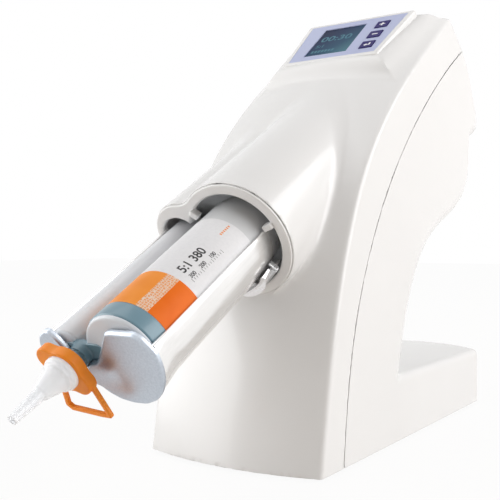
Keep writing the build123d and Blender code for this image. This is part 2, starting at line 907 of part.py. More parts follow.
def plunger(x, inside):
    """The flat disc that pushes a piston."""
    return rod(nose(plunger_s + plunger_thickness), x, 0, inside - disc_clearance, plunger_thickness)


save(plunger(barrel_x, bore_r), "large_plunger")
save(plunger(small_x, small_inner_r), "small_plunger")
rod_length = crosshead_s + rod_seat - plunger_s - plunger_thickness
save(rod(nose(crosshead_s + rod_seat), barrel_x, 0, rod_r, rod_length), "large_plunger_rod")
save(rod(nose(crosshead_s + rod_seat), small_x, 0, small_rod_r, rod_length), "small_plunger_rod")

nut_r = 9.5
nut_flange_r = 11.0
nut_flange = 3.0
crosshead_low = -41.0
crosshead_high = 12.0
crosshead_left = -64.0
crosshead_right = 56.0
crosshead_corner = 4.0
with BuildPart() as crosshead:
    width, height = crosshead_right - crosshead_left, crosshead_high - crosshead_low
    middle = ((crosshead_left + crosshead_right) / 2, (crosshead_low + crosshead_high) / 2)
    with BuildSketch(nose(crosshead_s + crosshead_thickness)):
        with Locations(middle):
            RectangleRounded(width, height, crosshead_corner)
        with Locations((guide_left_x, guide_v), (guide_right_x, guide_v)):
            Circle(guide_r + running, mode=Mode.SUBTRACT)
        with Locations((screw_x, screw_v)):
            Circle(nut_r + seat, mode=Mode.SUBTRACT)
    extrude(amount=crosshead_thickness)
    for x, radius in ((barrel_x, rod_r), (small_x, small_rod_r)):
        add(rod(nose(crosshead_s + rod_seat), x, 0, radius + seat, 2 * rod_seat), mode=Mode.SUBTRACT)
save(crosshead.part, "crosshead")

with BuildPart() as nut:
    rear = nose(crosshead_s + crosshead_thickness)
    length = crosshead_thickness + nut_flange
    add(rod(rear, screw_x, screw_v, nut_r, crosshead_thickness))
    add(rod(nose(crosshead_s), screw_x, screw_v, nut_flange_r, nut_flange))
    add(rod(rear, screw_x, screw_v, screw_r + running, length), mode=Mode.SUBTRACT)
save(nut.part, "screw_nut")

frame_half = 66.0
frame_top = 16.0
front_frame_low = -60.0
rear_frame_low = -70.0
motor_side = 20.0
motor_x = screw_x - motor_side
gear_distance = gear_module * (screw_gear_teeth + pinion_teeth) / 2
motor_v = screw_v - sqrt(gear_distance**2 - (screw_x - motor_x) ** 2)
bearing_r = 11.0
gearbox_length = 20.0
pinion_shaft_r = 3.0
gear_s = rear_frame_s + plate_thickness + 1.0


def frame_plate(s, low, holes):
    """A drive frame plate square to the barrels, with its holes as (x, v, radius)."""
    with BuildPart() as plate:
        with BuildSketch(nose(s + plate_thickness)):
            with Locations((0, (low + frame_top) / 2)):
                Rectangle(2 * frame_half, frame_top - low)
            for x, v, radius in holes:
                with Locations((x, v)):
                    Circle(radius, mode=Mode.SUBTRACT)
        extrude(amount=plate_thickness)
    return plate.part


front_holes = [
    (barrel_x, 0, rod_r + running),
    (small_x, 0, small_rod_r + running),
    (screw_x, screw_v, bearing_r + seat),
]
rear_holes = [(screw_x, screw_v, bearing_r + seat), (motor_x, motor_v, pinion_shaft_r + fit)]
save(frame_plate(front_frame_s, front_frame_low, front_holes), "front_frame_plate")
save(frame_plate(rear_frame_s, rear_frame_low, rear_holes), "rear_frame_plate")

guide_length = rear_frame_s - front_frame_s - plate_thickness
with BuildPart() as guides:
    for x in (guide_left_x, guide_right_x):
        add(rod(nose(rear_frame_s), x, guide_v, guide_r, guide_length))
save(guides.part, "guide_rods")

screw_end = gear_s + gear_width
save(rod(nose(screw_end), screw_x, screw_v, screw_r, screw_end - front_frame_s), "lead_screw")

with BuildPart() as bearings:
    for s in (front_frame_s, rear_frame_s):
        with BuildSketch(nose(s + plate_thickness)):
            with Locations((screw_x, screw_v)):
                Circle(bearing_r)
                Circle(screw_r + running, mode=Mode.SUBTRACT)
        extrude(amount=plate_thickness)
save(bearings.part, "screw_bearings")


def gear(x, v, teeth, bore, phase):
    """A spur gear with straight-sided teeth; one tooth points at the angle phase."""
    pitch_r = gear_module * teeth / 2
    pitch_angle = 2 * pi / teeth
    root_r = pitch_r - 1.15 * gear_module
    tip_r = pitch_r + 0.8 * gear_module
    flank = [(root_r - 1, 0.27), (pitch_r, 0.20), (tip_r, 0.10)]
    outline = [(r * cos(a * pitch_angle), r * sin(a * pitch_angle)) for r, a in flank]
    outline += [(px, -py) for px, py in reversed(outline)]
    with BuildPart() as wheel:
        with BuildSketch(nose(gear_s + gear_width)):
            with Locations((x, v)):
                Circle(root_r)
                with PolarLocations(0, teeth, start_angle=phase):
                    Polygon(*outline, align=None)
            with Locations((x, v)):
                Circle(bore, mode=Mode.SUBTRACT)
        extrude(amount=gear_width)
    return wheel.part


line_angle = degrees(atan2(motor_v - screw_v, motor_x - screw_x))
save(gear(screw_x, screw_v, screw_gear_teeth, screw_r + seat, line_angle), "screw_gear")
pinion_phase = line_angle + 180 + 180 / pinion_teeth
save(gear(motor_x, motor_v, pinion_teeth, pinion_shaft_r + seat, pinion_phase), "motor_pinion")

save(rod(nose(rear_frame_s), motor_x, motor_v, motor_r, gearbox_length), "drive_gearbox")
motor_start = rear_frame_s - gearbox_length
save(rod(nose(motor_start), motor_x, motor_v, motor_r - 1, motor_length - gearbox_length), "drive_motor")
pinion_shaft_length = gear_s + gear_width - rear_frame_s
gear_rear = nose(gear_s + gear_width)
save(rod(gear_rear, motor_x, motor_v, pinion_shaft_r, pinion_shaft_length), "motor_shaft")

# ================================================================ side brackets
bracket_outline = [
    (bracket_front, base_top),
    (bracket_rear, base_top),
    (146, 110),
    (198, 205),
    (318, 281),
    (276, 352),
    (120, 262),
]
bracket_flange = 19.0
for side, name in ((-1, "left_bracket"), (1, "right_bracket")):
    with BuildPart() as bracket:
        with BuildSketch(Plane.YZ.offset(side * frame_half)):
            with BuildLine():
                Polyline(*[at(*point) for point in bracket_outline], close=True)
            make_face()
        extrude(amount=side * wall)
        with BuildSketch(Plane.XY.offset(base_top)):
            low_front, low_back = bracket_outline[0][0], bracket_outline[1][0]
            flange_x = side * (frame_half + wall - bracket_flange / 2)
            with Locations((flange_x, front_y + (low_front + low_back) / 2)):
                Rectangle(bracket_flange, low_back - low_front)
            with Locations(*[place for place in bracket_places if place[0] * side > 0]):
                Circle(casing_screw_r, mode=Mode.SUBTRACT)
        extrude(amount=wall)
    save(bracket.part, name)

# ================================================================ mains inlet, switch, power supply
panel_y = front_y + foot_depth - panel_recess
panel_plane = Plane((0, panel_y, panel_height), x_dir=(-1, 0, 0), z_dir=(0, 1, 0))
inlet_x = 13.0
inlet_size = (27.0, 20.0)
inlet_cavity = (22.0, 14.5)
inlet_depth = 22.0
cavity_depth = 15.0
inlet_lip = 1.5
inlet_frame = 2.0
pin_size = (2.0, 4.0)
pin_pitch = 7.0
pin_drop = 1.5
pin_recess = 5.0
switch_x = -18.0
switch_size = (15.0, 21.0)
switch_depth = 18.0
switch_frame = 1.5
switch_back = 4.0
rocker_size = (11.0, 17.0)
rocker_swing = 16.0
rocker_r = 4.0
pivot_r = 1.5
pivot_half = rocker_size[0] / 2 + fit + 1.0
rocker_plane = Plane(
    panel_plane.from_local_coords(Vector(switch_x, 0, -rocker_r)), x_dir=(0, 0, 1), z_dir=(-1, 0, 0)
)

with BuildPart() as panel:
    panel_top = window_height / 2 + panel_margin
    with BuildSketch(panel_plane):
        with Locations((0, panel_top)):
            Rectangle(
                window_width + 2 * panel_margin,
                panel_top + panel_height - base_top,
                align=(Align.CENTER, Align.MAX),
            )
        with Locations((inlet_x, 0)):
            Rectangle(*inlet_size, mode=Mode.SUBTRACT)
        with Locations((switch_x, 0)):
            Rectangle(*switch_size, mode=Mode.SUBTRACT)
    extrude(amount=-panel_thickness)
save(panel.part, "rear_panel")

with BuildPart() as inlet:
    with BuildSketch(panel_plane):
        with Locations((inlet_x, 0)):
            Rectangle(*inlet_size)
    extrude(amount=-inlet_depth)
    with BuildSketch(panel_plane):
        with Locations((inlet_x, 0)):
            RectangleRounded(inlet_size[0] + 2 * inlet_frame, inlet_size[1] + 2 * inlet_frame, inlet_frame)
    extrude(amount=inlet_lip)
    with BuildSketch(panel_plane.offset(inlet_lip)):
        with Locations((inlet_x, 0)):
            RectangleRounded(*inlet_cavity, inlet_frame)
    extrude(amount=-cavity_depth, mode=Mode.SUBTRACT)
    with BuildSketch(panel_plane.offset(inlet_lip - cavity_depth)):
        with Locations((inlet_x - pin_pitch, -pin_drop), (inlet_x, pin_drop), (inlet_x + pin_pitch, -pin_drop)):
            Rectangle(*pin_size)
    extrude(amount=cavity_depth - pin_recess)
save(inlet.part, "mains_inlet")

with BuildPart() as switch:
    with BuildSketch(panel_plane):
        with Locations((switch_x, 0)):
            Rectangle(*switch_size)
    extrude(amount=-switch_depth)
    with BuildSketch(panel_plane):
        with Locations((switch_x, 0)):
            RectangleRounded(switch_size[0] + 2 * switch_frame, switch_size[1] + 2 * switch_frame, switch_frame)
    extrude(amount=inlet_lip)
    with BuildSketch(panel_plane.offset(inlet_lip)):
        with Locations((switch_x, 0)):
            Rectangle(rocker_size[0] + 2 * fit, rocker_size[1] + 2 * fit)
    extrude(amount=-switch_depth + switch_back, mode=Mode.SUBTRACT)
    with BuildSketch(rocker_plane.offset(-pivot_half - fit)):
        Circle(pivot_r + running)
    extrude(amount=2 * (pivot_half + fit), mode=Mode.SUBTRACT)
save(switch.part, "power_switch")

half = rocker_size[1] / 2 - 1
ridge = rocker_r + inlet_lip / 2
rise = half * sin(radians(rocker_swing / 2))
rocker_outline = [
    (-half, ridge + rise),
    (0, ridge),
    (half, ridge + rise),
    (half - 1, 0),
    (0, -rocker_r),
    (1 - half, 0),
]
with BuildPart() as rocker:
    with BuildSketch(rocker_plane.offset(-rocker_size[0] / 2)):
        with BuildLine():
            Polyline(*rocker_outline, close=True)
        make_face()
    extrude(amount=rocker_size[0])
    with BuildSketch(rocker_plane.offset(-pivot_half)):
        Circle(pivot_r)
    extrude(amount=2 * pivot_half)
save(rocker.part.rotate(Axis(rocker_plane.origin, (1, 0, 0)), rocker_swing / 2), "power_rocker")

supply_size = (96.0, 110.0)
supply_height = 30.0
supply_depth = 235.0
supply_corner = 4.0
with BuildPart() as supply:
    with BuildSketch(Plane.XY.offset(base_top)):
        with Locations((0, front_y + supply_depth)):
            RectangleRounded(*supply_size, supply_corner)
    extrude(amount=supply_height)
save(supply.part, "power_supply")

screw_length = base_thickness + casing_screw_grip
with BuildPart() as screws:
    with BuildSketch(Plane.XY.offset(foot_lift + fit)):
        with Locations(*screw_places):
            Circle(casing_screw_head_r)
    extrude(amount=casing_screw_head - fit)
    with BuildSketch(Plane.XY.offset(foot_lift + fit)):
        with Locations(*screw_places):
            Circle(casing_screw_r)
    extrude(amount=screw_length)
save(screws.part, "base_screws")
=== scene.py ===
# %% [markdown]
# # A desktop mixer for two-part dental impression paste
# Those solids give every size and place. This lesson dresses them: it sets the camera and
# the light first, then makes the glossy casing, the metal tray, the printed barrel, the
# clear mixing tip and the control panel, piece by piece.

# %% Bring in the fixed frame
import math

import bmesh
import bpy
import numpy as np
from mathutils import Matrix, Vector


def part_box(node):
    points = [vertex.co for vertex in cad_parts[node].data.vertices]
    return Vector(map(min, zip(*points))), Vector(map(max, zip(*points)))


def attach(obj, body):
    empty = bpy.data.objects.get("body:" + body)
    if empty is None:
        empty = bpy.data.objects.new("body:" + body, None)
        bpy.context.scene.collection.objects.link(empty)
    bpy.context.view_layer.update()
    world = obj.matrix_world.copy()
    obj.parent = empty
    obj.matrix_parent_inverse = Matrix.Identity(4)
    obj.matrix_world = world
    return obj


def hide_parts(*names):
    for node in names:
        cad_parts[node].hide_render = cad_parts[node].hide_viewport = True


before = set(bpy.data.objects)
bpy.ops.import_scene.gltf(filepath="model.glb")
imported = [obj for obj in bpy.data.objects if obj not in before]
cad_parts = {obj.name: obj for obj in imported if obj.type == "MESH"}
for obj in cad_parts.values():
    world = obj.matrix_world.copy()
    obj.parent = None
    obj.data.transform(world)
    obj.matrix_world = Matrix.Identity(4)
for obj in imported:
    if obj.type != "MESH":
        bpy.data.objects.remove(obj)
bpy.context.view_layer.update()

MM = 0.001

# %% [markdown]
# Two places steer nearly everything. The casing's lower front edge is where the side view
# starts, and the collar is where the barrels come out, 30 degrees below the horizon. Sizes
# are written in millimetres, and one helper turns them into metres when a mesh is made.
# In the nose's own view x runs across, v runs up and square to the barrels, and s runs
# along them, counted from the collar's face towards the back.

# %% Places that the pieces share
FOOT_DEPTH = 380.0
FRONT_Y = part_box("rear_housing")[1].y / MM - FOOT_DEPTH
NOSE_ANGLE = math.radians(30)
COLLAR_Y, COLLAR_Z = FRONT_Y - 6.0, 173.5
BARREL_X, SHAFT_X, SMALL_X = 10.0, -22.6, -39.82
COS, SIN = math.cos(NOSE_ANGLE), math.sin(NOSE_ANGLE)


def nose_point(x, v, s):
    """A place in the nose's own view, as x, y, z in millimetres."""
    return x, COLLAR_Y + s * COS - v * SIN, COLLAR_Z + s * SIN + v * COS


def nose_view(x, y, z):
    """The same the other way: x, v and s of places given as x, y, z."""
    dy, dz = y - COLLAR_Y, z - COLLAR_Z
    return x, dz * COS - dy * SIN, dy * COS + dz * SIN


print("front edge at y =", round(FRONT_Y, 2), "mm")

# %% [markdown]
# The camera looks almost level from the middle of the machine's height, 34 degrees round to
# the right, where one picture shows the nose, the panel and the long side. Whatever is put
# into the scene goes through one small helper.

# %% Camera
CAMERA_PLACE, CAMERA_TURN, CAMERA_PITCH, CAMERA_LENS = (0.3539, -0.5951, 0.1714), 33.8, -0.5, 57.5


def shown(name, data):
    """A new object with some data, put into the scene."""
    made = bpy.data.objects.new(name, data)
    bpy.context.scene.collection.objects.link(made)
    return made


def aim(azimuth, pitch):
    """The turn that makes a camera look along an azimuth and a pitch, in degrees."""
    a, q = math.radians(azimuth), math.radians(pitch)
    ahead = Vector((-math.sin(a) * math.cos(q), math.cos(a) * math.cos(q), math.sin(q)))
    return ahead.to_track_quat("-Z", "Y")


camera = shown("camera", bpy.data.cameras.new("camera"))
camera.location = CAMERA_PLACE
camera.rotation_mode = "QUATERNION"
camera.rotation_quaternion = aim(CAMERA_TURN, CAMERA_PITCH)
camera.data.lens = CAMERA_LENS
camera.data.clip_start, camera.data.clip_end = 0.02, 20.0
bpy.context.scene.camera = camera
print("camera:", camera.location[:], camera.data.lens, "mm")

# %% [markdown]
# A material here is a short list of nodes. One helper adds a node with its settings, and one
# makes a Principled shader with its plain numbers set on the shader itself. Two more add what
# no real surface is without: a slow drift of colour and gloss, and a fine relief with its own
# scale and depth. The casing's white only drifts in colour: a relief on such a large glossy
# face would show as blotches.

# %% Material helpers
def node(tree, kind, inputs=(), **settings):
    """One node with its settings; an input is a number, a colour or another node's socket."""
    made = tree.nodes.new(kind)
    for key, value in settings.items():
        setattr(made, key, value)
    for key, value in dict(inputs).items():
        if isinstance(value, bpy.types.NodeSocket):
            tree.links.new(value, made.inputs[key])
        else:
            made.inputs[key].default_value = value
    return made


def sums(tree, operation, *inputs):
    """The result of one Math node."""
    return node(tree, "ShaderNodeMath", enumerate(inputs), operation=operation).outputs[0]


def new_material(name, colour, rough, metallic=0.0, **numbers):
    """A material with one Principled shader, and that shader."""
    made = bpy.data.materials.new(name)
    made.use_nodes = True
    shader = made.node_tree.nodes["Principled BSDF"]
    shader.inputs["Base Color"].default_value = (*colour, 1)
    shader.inputs["Roughness"].default_value = rough
    shader.inputs["Metallic"].default_value = metallic
    for key, value in numbers.items():
        shader.inputs[key.replace("_", " ")].default_value = value
    return made, shader


def noise(material, scale, detail=3.0, stretch=(1, 1, 1)):
    """Noise on the piece's own coordinates, in features per metre."""
    tree = material.node_tree
    where = node(tree, "ShaderNodeTexCoord").outputs["Object"]
    place = node(tree, "ShaderNodeMapping", {"Vector": where, "Scale": stretch}).outputs["Vector"]
    numbers = {"Vector": place, "Scale": scale, "Detail": detail}
    return node(tree, "ShaderNodeTexNoise", numbers).outputs["Fac"]


def ramp(material, fac, stops):
    """Colours or greys laid along a 0 to 1 value."""
    made = node(material.node_tree, "ShaderNodeValToRGB", {"Fac": fac})
    elements = made.color_ramp.elements
    for index, (place, colour) in enumerate(stops):
        stop = elements[index] if index < 2 else elements.new(place)
        stop.position = place
        stop.color = (*colour, 1)
    return made.outputs["Color"]


def two_tone(material, pattern, low, high):
    """A colour that drifts from low to high with a pattern."""
    return ramp(material, pattern, [(0.2, low), (0.8, high)])


def grey(value):
    return (value, value, value)


def vary(material, shader, colours, scale, rough=None, stretch=(1, 1, 1)):
    """Lets the colour, and the roughness if given, drift over the surface."""
    links = material.node_tree.links
    colour = two_tone(material, noise(material, scale, 2.0, stretch), *colours)
    links.new(colour, shader.inputs["Base Color"])
    if rough:
        fine = noise(material, scale * 3.1, 2.0, stretch)
        smear = two_tone(material, fine, grey(rough[0]), grey(rough[1]))
        links.new(smear, shader.inputs["Roughness"])


def bumped(tree, shader, height, depth):
    """Lets a height, 0 to 1, bump the surface by a depth in metres."""
    bump = node(tree, "ShaderNodeBump", {"Strength": 1.0, "Distance": depth, "Height": height})
    tree.links.new(bump.outputs["Normal"], shader.inputs["Normal"])


def relief(material, shader, scale, depth, detail=2.0, stretch=(1, 1, 1)):
    """A fine bump, its depth in metres."""
    bumped(material.node_tree, shader, noise(material, scale, detail, stretch), depth)


def moulded(name, low, high, rough, bump=0.00002, grain=900, **numbers):
    """Moulded plastic: two near colours, a little smearing of its gloss and a fine skin."""
    made, shader = new_material(name, low, rough, **numbers)
    vary(made, shader, (low, high), 9, (rough * 0.85, rough * 1.25))
    relief(made, shader, grain, bump)
    return made


def metal(name, low, high, rough, grain=(1, 1, 1), bump=0.00001, scale=400):
    """Worked metal, its marks stretched along one direction."""
    made, shader = new_material(name, low, rough, 1.0)
    vary(made, shader, (low, high), 40, (rough * 0.7, rough * 1.5), grain)
    relief(made, shader, scale, bump, 2.0, grain)
    return made


WHITE, white_shader = new_material(
    "white_gloss_plastic", (0.81, 0.81, 0.81), 0.26, Coat_Weight=0.3, Coat_Roughness=0.1)
vary(WHITE, white_shader, ((0.79, 0.788, 0.785), (0.83, 0.829, 0.828)), 9)
print("materials so far:", len(bpy.data.materials))

# %% [markdown]
# The floor is a large plain sheet and the room is a plain sky. The camera sees both as white,
# and so do glossy and clear surfaces, so bright metal and the clear tip show a white studio.
# Their own colours are warm and dim, and that is what lights the machine from below and from
# all round. Two wide soft lamps stand to the left and to the right, and a weak one hangs
# above, so the front stays a shade darker.

# %% Floor, sky and lamps
FLOOR_HALF, GLOW_SHARE, SKY_STRENGTH = 6.0, 0.94, 0.2
LAMP_AIM = Vector((0, 0, 0.18))
LAMPS = {
    "soft_left": ((-1.75, -1.15, 0.4), 2.2, 49.0, (0.965, 0.985, 1.0)),
    "soft_right": ((1.9, 0.5, 1.1), 2.0, 46.0, (0.985, 0.99, 1.0)),
    "soft_top": ((-0.8, -0.6, 1.9), 1.8, 12.0, (0.985, 0.99, 1.0)),
}


def white_for_rays(tree):
    """A value that is 1 where the camera, a gloss or a clear body looks."""
    path = node(tree, "ShaderNodeLightPath").outputs
    seen = sums(tree, "MAXIMUM", path["Is Camera Ray"], path["Is Glossy Ray"])
    return sums(tree, "MAXIMUM", seen, path["Is Transmission Ray"])


corners = [(a * FLOOR_HALF, b * FLOOR_HALF, 0) for a, b in ((-1, -1), (1, -1), (1, 1), (-1, 1))]
floor_mesh = bpy.data.meshes.new("floor")
floor_mesh.from_pydata(corners, [], [(0, 1, 2, 3)])
floor = shown("floor", floor_mesh)
floor_paint, floor_shader = new_material("floor_paint", (0.68, 0.62, 0.56), 0.22)
tree = floor_paint.node_tree
glow = node(tree, "ShaderNodeEmission", {"Color": (1, 1, 1, 1), "Strength": 1.0})
share = sums(tree, "MULTIPLY", white_for_rays(tree), GLOW_SHARE)
blend = node(tree, "ShaderNodeMixShader", {0: share, 1: floor_shader.outputs[0], 2: glow.outputs[0]})
tree.links.new(blend.outputs[0], tree.nodes["Material Output"].inputs["Surface"])
floor_mesh.materials.append(floor_paint)

sky = bpy.data.worlds.new("studio")
bpy.context.scene.world = sky
sky.use_nodes = True
tree = sky.node_tree
dim = tree.nodes["Background"]
dim.inputs["Color"].default_value = (1.0, 0.90, 0.80, 1)
dim.inputs["Strength"].default_value = SKY_STRENGTH
bright = node(tree, "ShaderNodeBackground", {"Color": (1, 1, 1, 1), "Strength": 1.0})
blend = node(tree, "ShaderNodeMixShader", {0: white_for_rays(tree), 1: dim.outputs[0], 2: bright.outputs[0]})
tree.links.new(blend.outputs[0], tree.nodes["World Output"].inputs["Surface"])

for name, (place, size, power, colour) in LAMPS.items():
    lamp = bpy.data.lights.new(name, "AREA")
    lamp.size, lamp.energy, lamp.color = size, power, colour
    stand = shown(name, lamp)
    stand.location = place
    stand.rotation_mode = "QUATERNION"
    stand.rotation_quaternion = (LAMP_AIM - Vector(place)).to_track_quat("-Z", "Y")
bpy.context.scene.view_settings.view_transform = "Standard"
print("lamps:", list(LAMPS))

# %% [markdown]
# ## The casing
# The casing is two thin glossy shells that meet in a curved seam. Its front swells slightly
# towards the middle, two sleeves grow out of it, and every edge is soft. Such soft, merging
# shapes are awkward to fillet by hand. It is easier to describe them by a rule that says how
# far any place in space is from the surface: negative inside, positive outside. Rules are
# joined with a rounded "or", and cut with a rounded "and". A skin is then drawn where the
# rule is zero.

# %% Rules for soft solids
def both(a, b, radius=None):
    """Inside both rules, with a rounded outer edge."""
    if radius is None:
        return np.maximum(a, b)
    u, w = np.maximum(a + radius, 0), np.maximum(b + radius, 0)
    return np.minimum(-radius, np.maximum(a, b)) + np.sqrt(u * u + w * w)


def either(a, b, radius=None):
    """Inside either rule, with a rounded inner corner."""
    if radius is None:
        return np.minimum(a, b)
    u, w = np.maximum(radius - a, 0), np.maximum(radius - b, 0)
    return np.maximum(radius, np.minimum(a, b)) - np.sqrt(u * u + w * w)


def slab(value, middle, half):
    """The distance from a stretch that is given by its middle and half its width."""
    return abs(value - middle) - half


def span(value, low, high):
    """The distance from a stretch that is given by its two ends."""
    return slab(value, (low + high) / 2, (high - low) / 2)


def round_at(a, b, middle_a, middle_b, radius):
    """The distance from a circle in a flat view."""
    return np.hypot(a - middle_a, b - middle_b) - radius


def smooth_line(points, count=40):
    """Evenly spaced points on a smooth line through a few given ones."""
    p = np.array(points, float)
    h = np.linalg.norm(np.diff(p, axis=0), axis=1)
    t = np.concatenate([[0], np.cumsum(h)])
    n = len(p)
    system, right = np.eye(n), np.zeros((n, 2))
    for i in range(1, n - 1):
        system[i, i - 1 : i + 2] = h[i - 1], 2 * (h[i - 1] + h[i]), h[i]
        right[i] = 6 * ((p[i + 1] - p[i]) / h[i] - (p[i] - p[i - 1]) / h[i - 1])
    bend = np.linalg.solve(system, right)
    u = np.linspace(0, t[-1], count)
    k = np.clip(np.searchsorted(t, u, side="right") - 1, 0, n - 2)
    a, b = ((t[k + 1] - u) / h[k])[:, None], ((u - t[k]) / h[k])[:, None]
    size = (h[k] ** 2 / 6)[:, None]
    return a * p[k] + b * p[k + 1] + ((a**3 - a) * bend[k] + (b**3 - b) * bend[k + 1]) * size


class FlatRule:
    """The distance from a closed outline in a flat view, kept in a table for quick reading."""

    def __init__(self, outline, margin=60.0, step=1.0):
        outline = np.array(outline, float)
        self.low, self.step = outline.min(0) - margin, step
        counts = np.ceil((np.ptp(outline, axis=0) + 2 * margin) / step).astype(int) + 1
        a = self.low[0] + step * np.arange(counts[0])
        b = self.low[1] + step * np.arange(counts[1])
        px, py = (g.ravel() for g in np.meshgrid(a, b, indexing="ij"))
        best, inside = np.full(px.shape, 1e12), np.zeros(px.shape, bool)
        for p, q in zip(outline, np.roll(outline, -1, 0)):
            ex, ey = q - p
            if ex == ey == 0:
                continue
            wx, wy = px - p[0], py - p[1]
            t = np.clip((wx * ex + wy * ey) / (ex * ex + ey * ey), 0, 1)
            best = np.minimum(best, (wx - t * ex) ** 2 + (wy - t * ey) ** 2)
            if ey:
                inside ^= ((p[1] > py) != (q[1] > py)) & (px < p[0] + ex * (py - p[1]) / ey)
        self.table = np.where(inside, -1, 1).reshape(counts) * np.sqrt(best).reshape(counts)

    def __call__(self, a, b):
        top = np.array(self.table.shape) - 2
        fa = np.clip((a - self.low[0]) / self.step, 0, top[0] + 0.999)
        fb = np.clip((b - self.low[1]) / self.step, 0, top[1] + 0.999)
        i, j = fa.astype(int), fb.astype(int)
        fa, fb = fa - i, fb - j
        t = self.table
        near = t[i, j] * (1 - fb) + t[i, j + 1] * fb
        far = t[i + 1, j] * (1 - fb) + t[i + 1, j + 1] * fb
        return near * (1 - fa) + far * fa


print("rules ready")

# %% [markdown]
# The skin is drawn on a grid of small boxes. A box that the surface passes through gets one
# point, and the point goes where the flat surfaces seen on the box's own edges agree best.
# That keeps sharp edges sharp and round ones round. Away from sharp edges the points are then
# spread evenly, and each is laid exactly on the surface.

# %% Drawing the skin of a rule
CORNERS = [(i, j, k) for i in (0, 1) for j in (0, 1) for k in (0, 1)]
HOLD, REACH, PLAIN = 0.06, 0.8, 0.93
EVEN_ROUNDS, EVEN_SHARE = 3, 0.6


def slope(rule, p, reach=0.35):
    """The direction out of the surface at each place."""
    out = np.empty_like(p)
    for axis in range(3):
        step = np.zeros(3)
        step[axis] = reach
        ahead, behind = p + step, p - step
        out[:, axis] = rule(*ahead.T) - rule(*behind.T)
    return out / np.maximum(np.linalg.norm(out, axis=1), 1e-9)[:, None]


def skin(rule, low, high, step):
    """Points and four-sided faces of the surface where a rule is zero."""
    low = np.array(low, float)
    counts = np.ceil((np.array(high) - low) / step).astype(int) + 1
    axes = [low[a] + step * np.arange(counts[a]) for a in range(3)]
    grid = np.meshgrid(*axes, indexing="ij", sparse=True)
    values = np.broadcast_to(rule(*grid), counts)
    inside = values < 0
    cells = np.zeros(counts - 1, np.int8)
    for corner in CORNERS:
        cells += inside[tuple(slice(c, c + n) for c, n in zip(corner, counts - 1))]
    crossed = (cells > 0) & (cells < 8)
    number = np.full(cells.shape, -1)
    number[crossed] = np.arange(crossed.sum())
    total = int(crossed.sum())
    pull, push = np.zeros((total, 3, 3)), np.zeros((total, 3))
    centre, seen = np.zeros((total, 3)), np.zeros(total)
    faces, hits = [], []
    for axis in range(3):
        unit = np.eye(3, dtype=int)[axis]
        start = inside[tuple(slice(0, n - u) for u, n in zip(unit, counts))]
        stop = inside[tuple(slice(u, n) for u, n in zip(unit, counts))]
        at = np.argwhere(start != stop)
        others = [a for a in range(3) if a != axis]
        keep = np.all([(at[:, a] > 0) & (at[:, a] < counts[a] - 1) for a in others], axis=0)
        at = at[keep]
        va, vb = values[tuple(at.T)], values[tuple((at + unit).T)]
        share = va / (va - vb)
        place = low + step * (at + share[:, None] * unit)
        for _ in range(2):
            here = rule(*place.T)
            share = np.clip(share - here / np.where(abs(vb - va) < 1e-9, 1e-9, vb - va), 0, 1)
            place = low + step * (at + share[:, None] * unit)
        facing = slope(rule, place)
        o1, o2 = np.eye(3, dtype=int)[others[0]], np.eye(3, dtype=int)[others[1]]
        ring = [at - o1 - o2, at - o2, at, at - o1]
        ids = np.stack([number[tuple(r.T)] for r in ring], 1)
        for column in ids.T:
            hits.append((column, place, facing))
        flip = va < 0
        if axis == 1:
            flip = ~flip
        ids[~flip] = ids[~flip][:, ::-1]
        faces.append(ids)
    for column, place, facing in hits:
        np.add.at(centre, column, place)
        np.add.at(seen, column, 1)
    centre /= np.maximum(seen, 1)[:, None]
    for column, place, facing in hits:
        np.add.at(pull, column, facing[:, :, None] * facing[:, None, :])
        gap = np.einsum("ij,ij->i", facing, place - centre[column])
        np.add.at(push, column, facing * gap[:, None])
    move = np.linalg.solve(pull + HOLD * np.eye(3), push[:, :, None])[:, :, 0]
    points = centre + np.clip(move, -REACH * step, REACH * step)
    faces = np.concatenate(faces)
    lean = np.trace(pull @ pull, axis1=1, axis2=2) / np.maximum(seen, 1) ** 2
    return settle(rule, points, faces, lean > PLAIN, step), faces


def settle(rule, points, faces, plain, step):
    """Evens the mesh out and lays its points exactly on the surface, sharp edges aside."""
    pairs = np.concatenate([faces[:, [a, (a + 1) % 4]] for a in range(4)])
    for turn in range(EVEN_ROUNDS + 1):
        middle, count = np.zeros_like(points), np.zeros(len(points))
        for a, b in ((0, 1), (1, 0)):
            np.add.at(middle, pairs[:, a], points[pairs[:, b]])
            np.add.at(count, pairs[:, a], 1)
        middle /= np.maximum(count, 1)[:, None]
        if turn < EVEN_ROUNDS:
            points = np.where(plain[:, None], points + EVEN_SHARE * (middle - points), points)
        points = points - np.clip(rule(*points.T), -step, step)[:, None] * slope(rule, points)
    return points


def piece(name, points, faces, material, angle=32.0):
    """A mesh object from places in millimetres, smooth except across sharp edges."""
    mesh = bpy.data.meshes.new(name)
    flat = np.asarray(points, float) * MM
    mesh.from_pydata(flat.tolist(), [], [list(map(int, f)) for f in faces])
    mesh.update()
    mesh.shade_smooth()
    mesh.set_sharp_from_angle(angle=math.radians(angle))
    mesh.materials.append(material)
    made = shown(name, mesh)
    print(name, len(mesh.vertices), "points", len(mesh.polygons), "faces")
    return made

# %% [markdown]
# The column is drawn once in the side view, from the long front curve over the head to the
# hollow under it. Its outline swells towards the middle of the width. The foot is drawn in
# the view from above. The two sleeves and the flare that leads them into the body are drawn
# in the nose's own view.

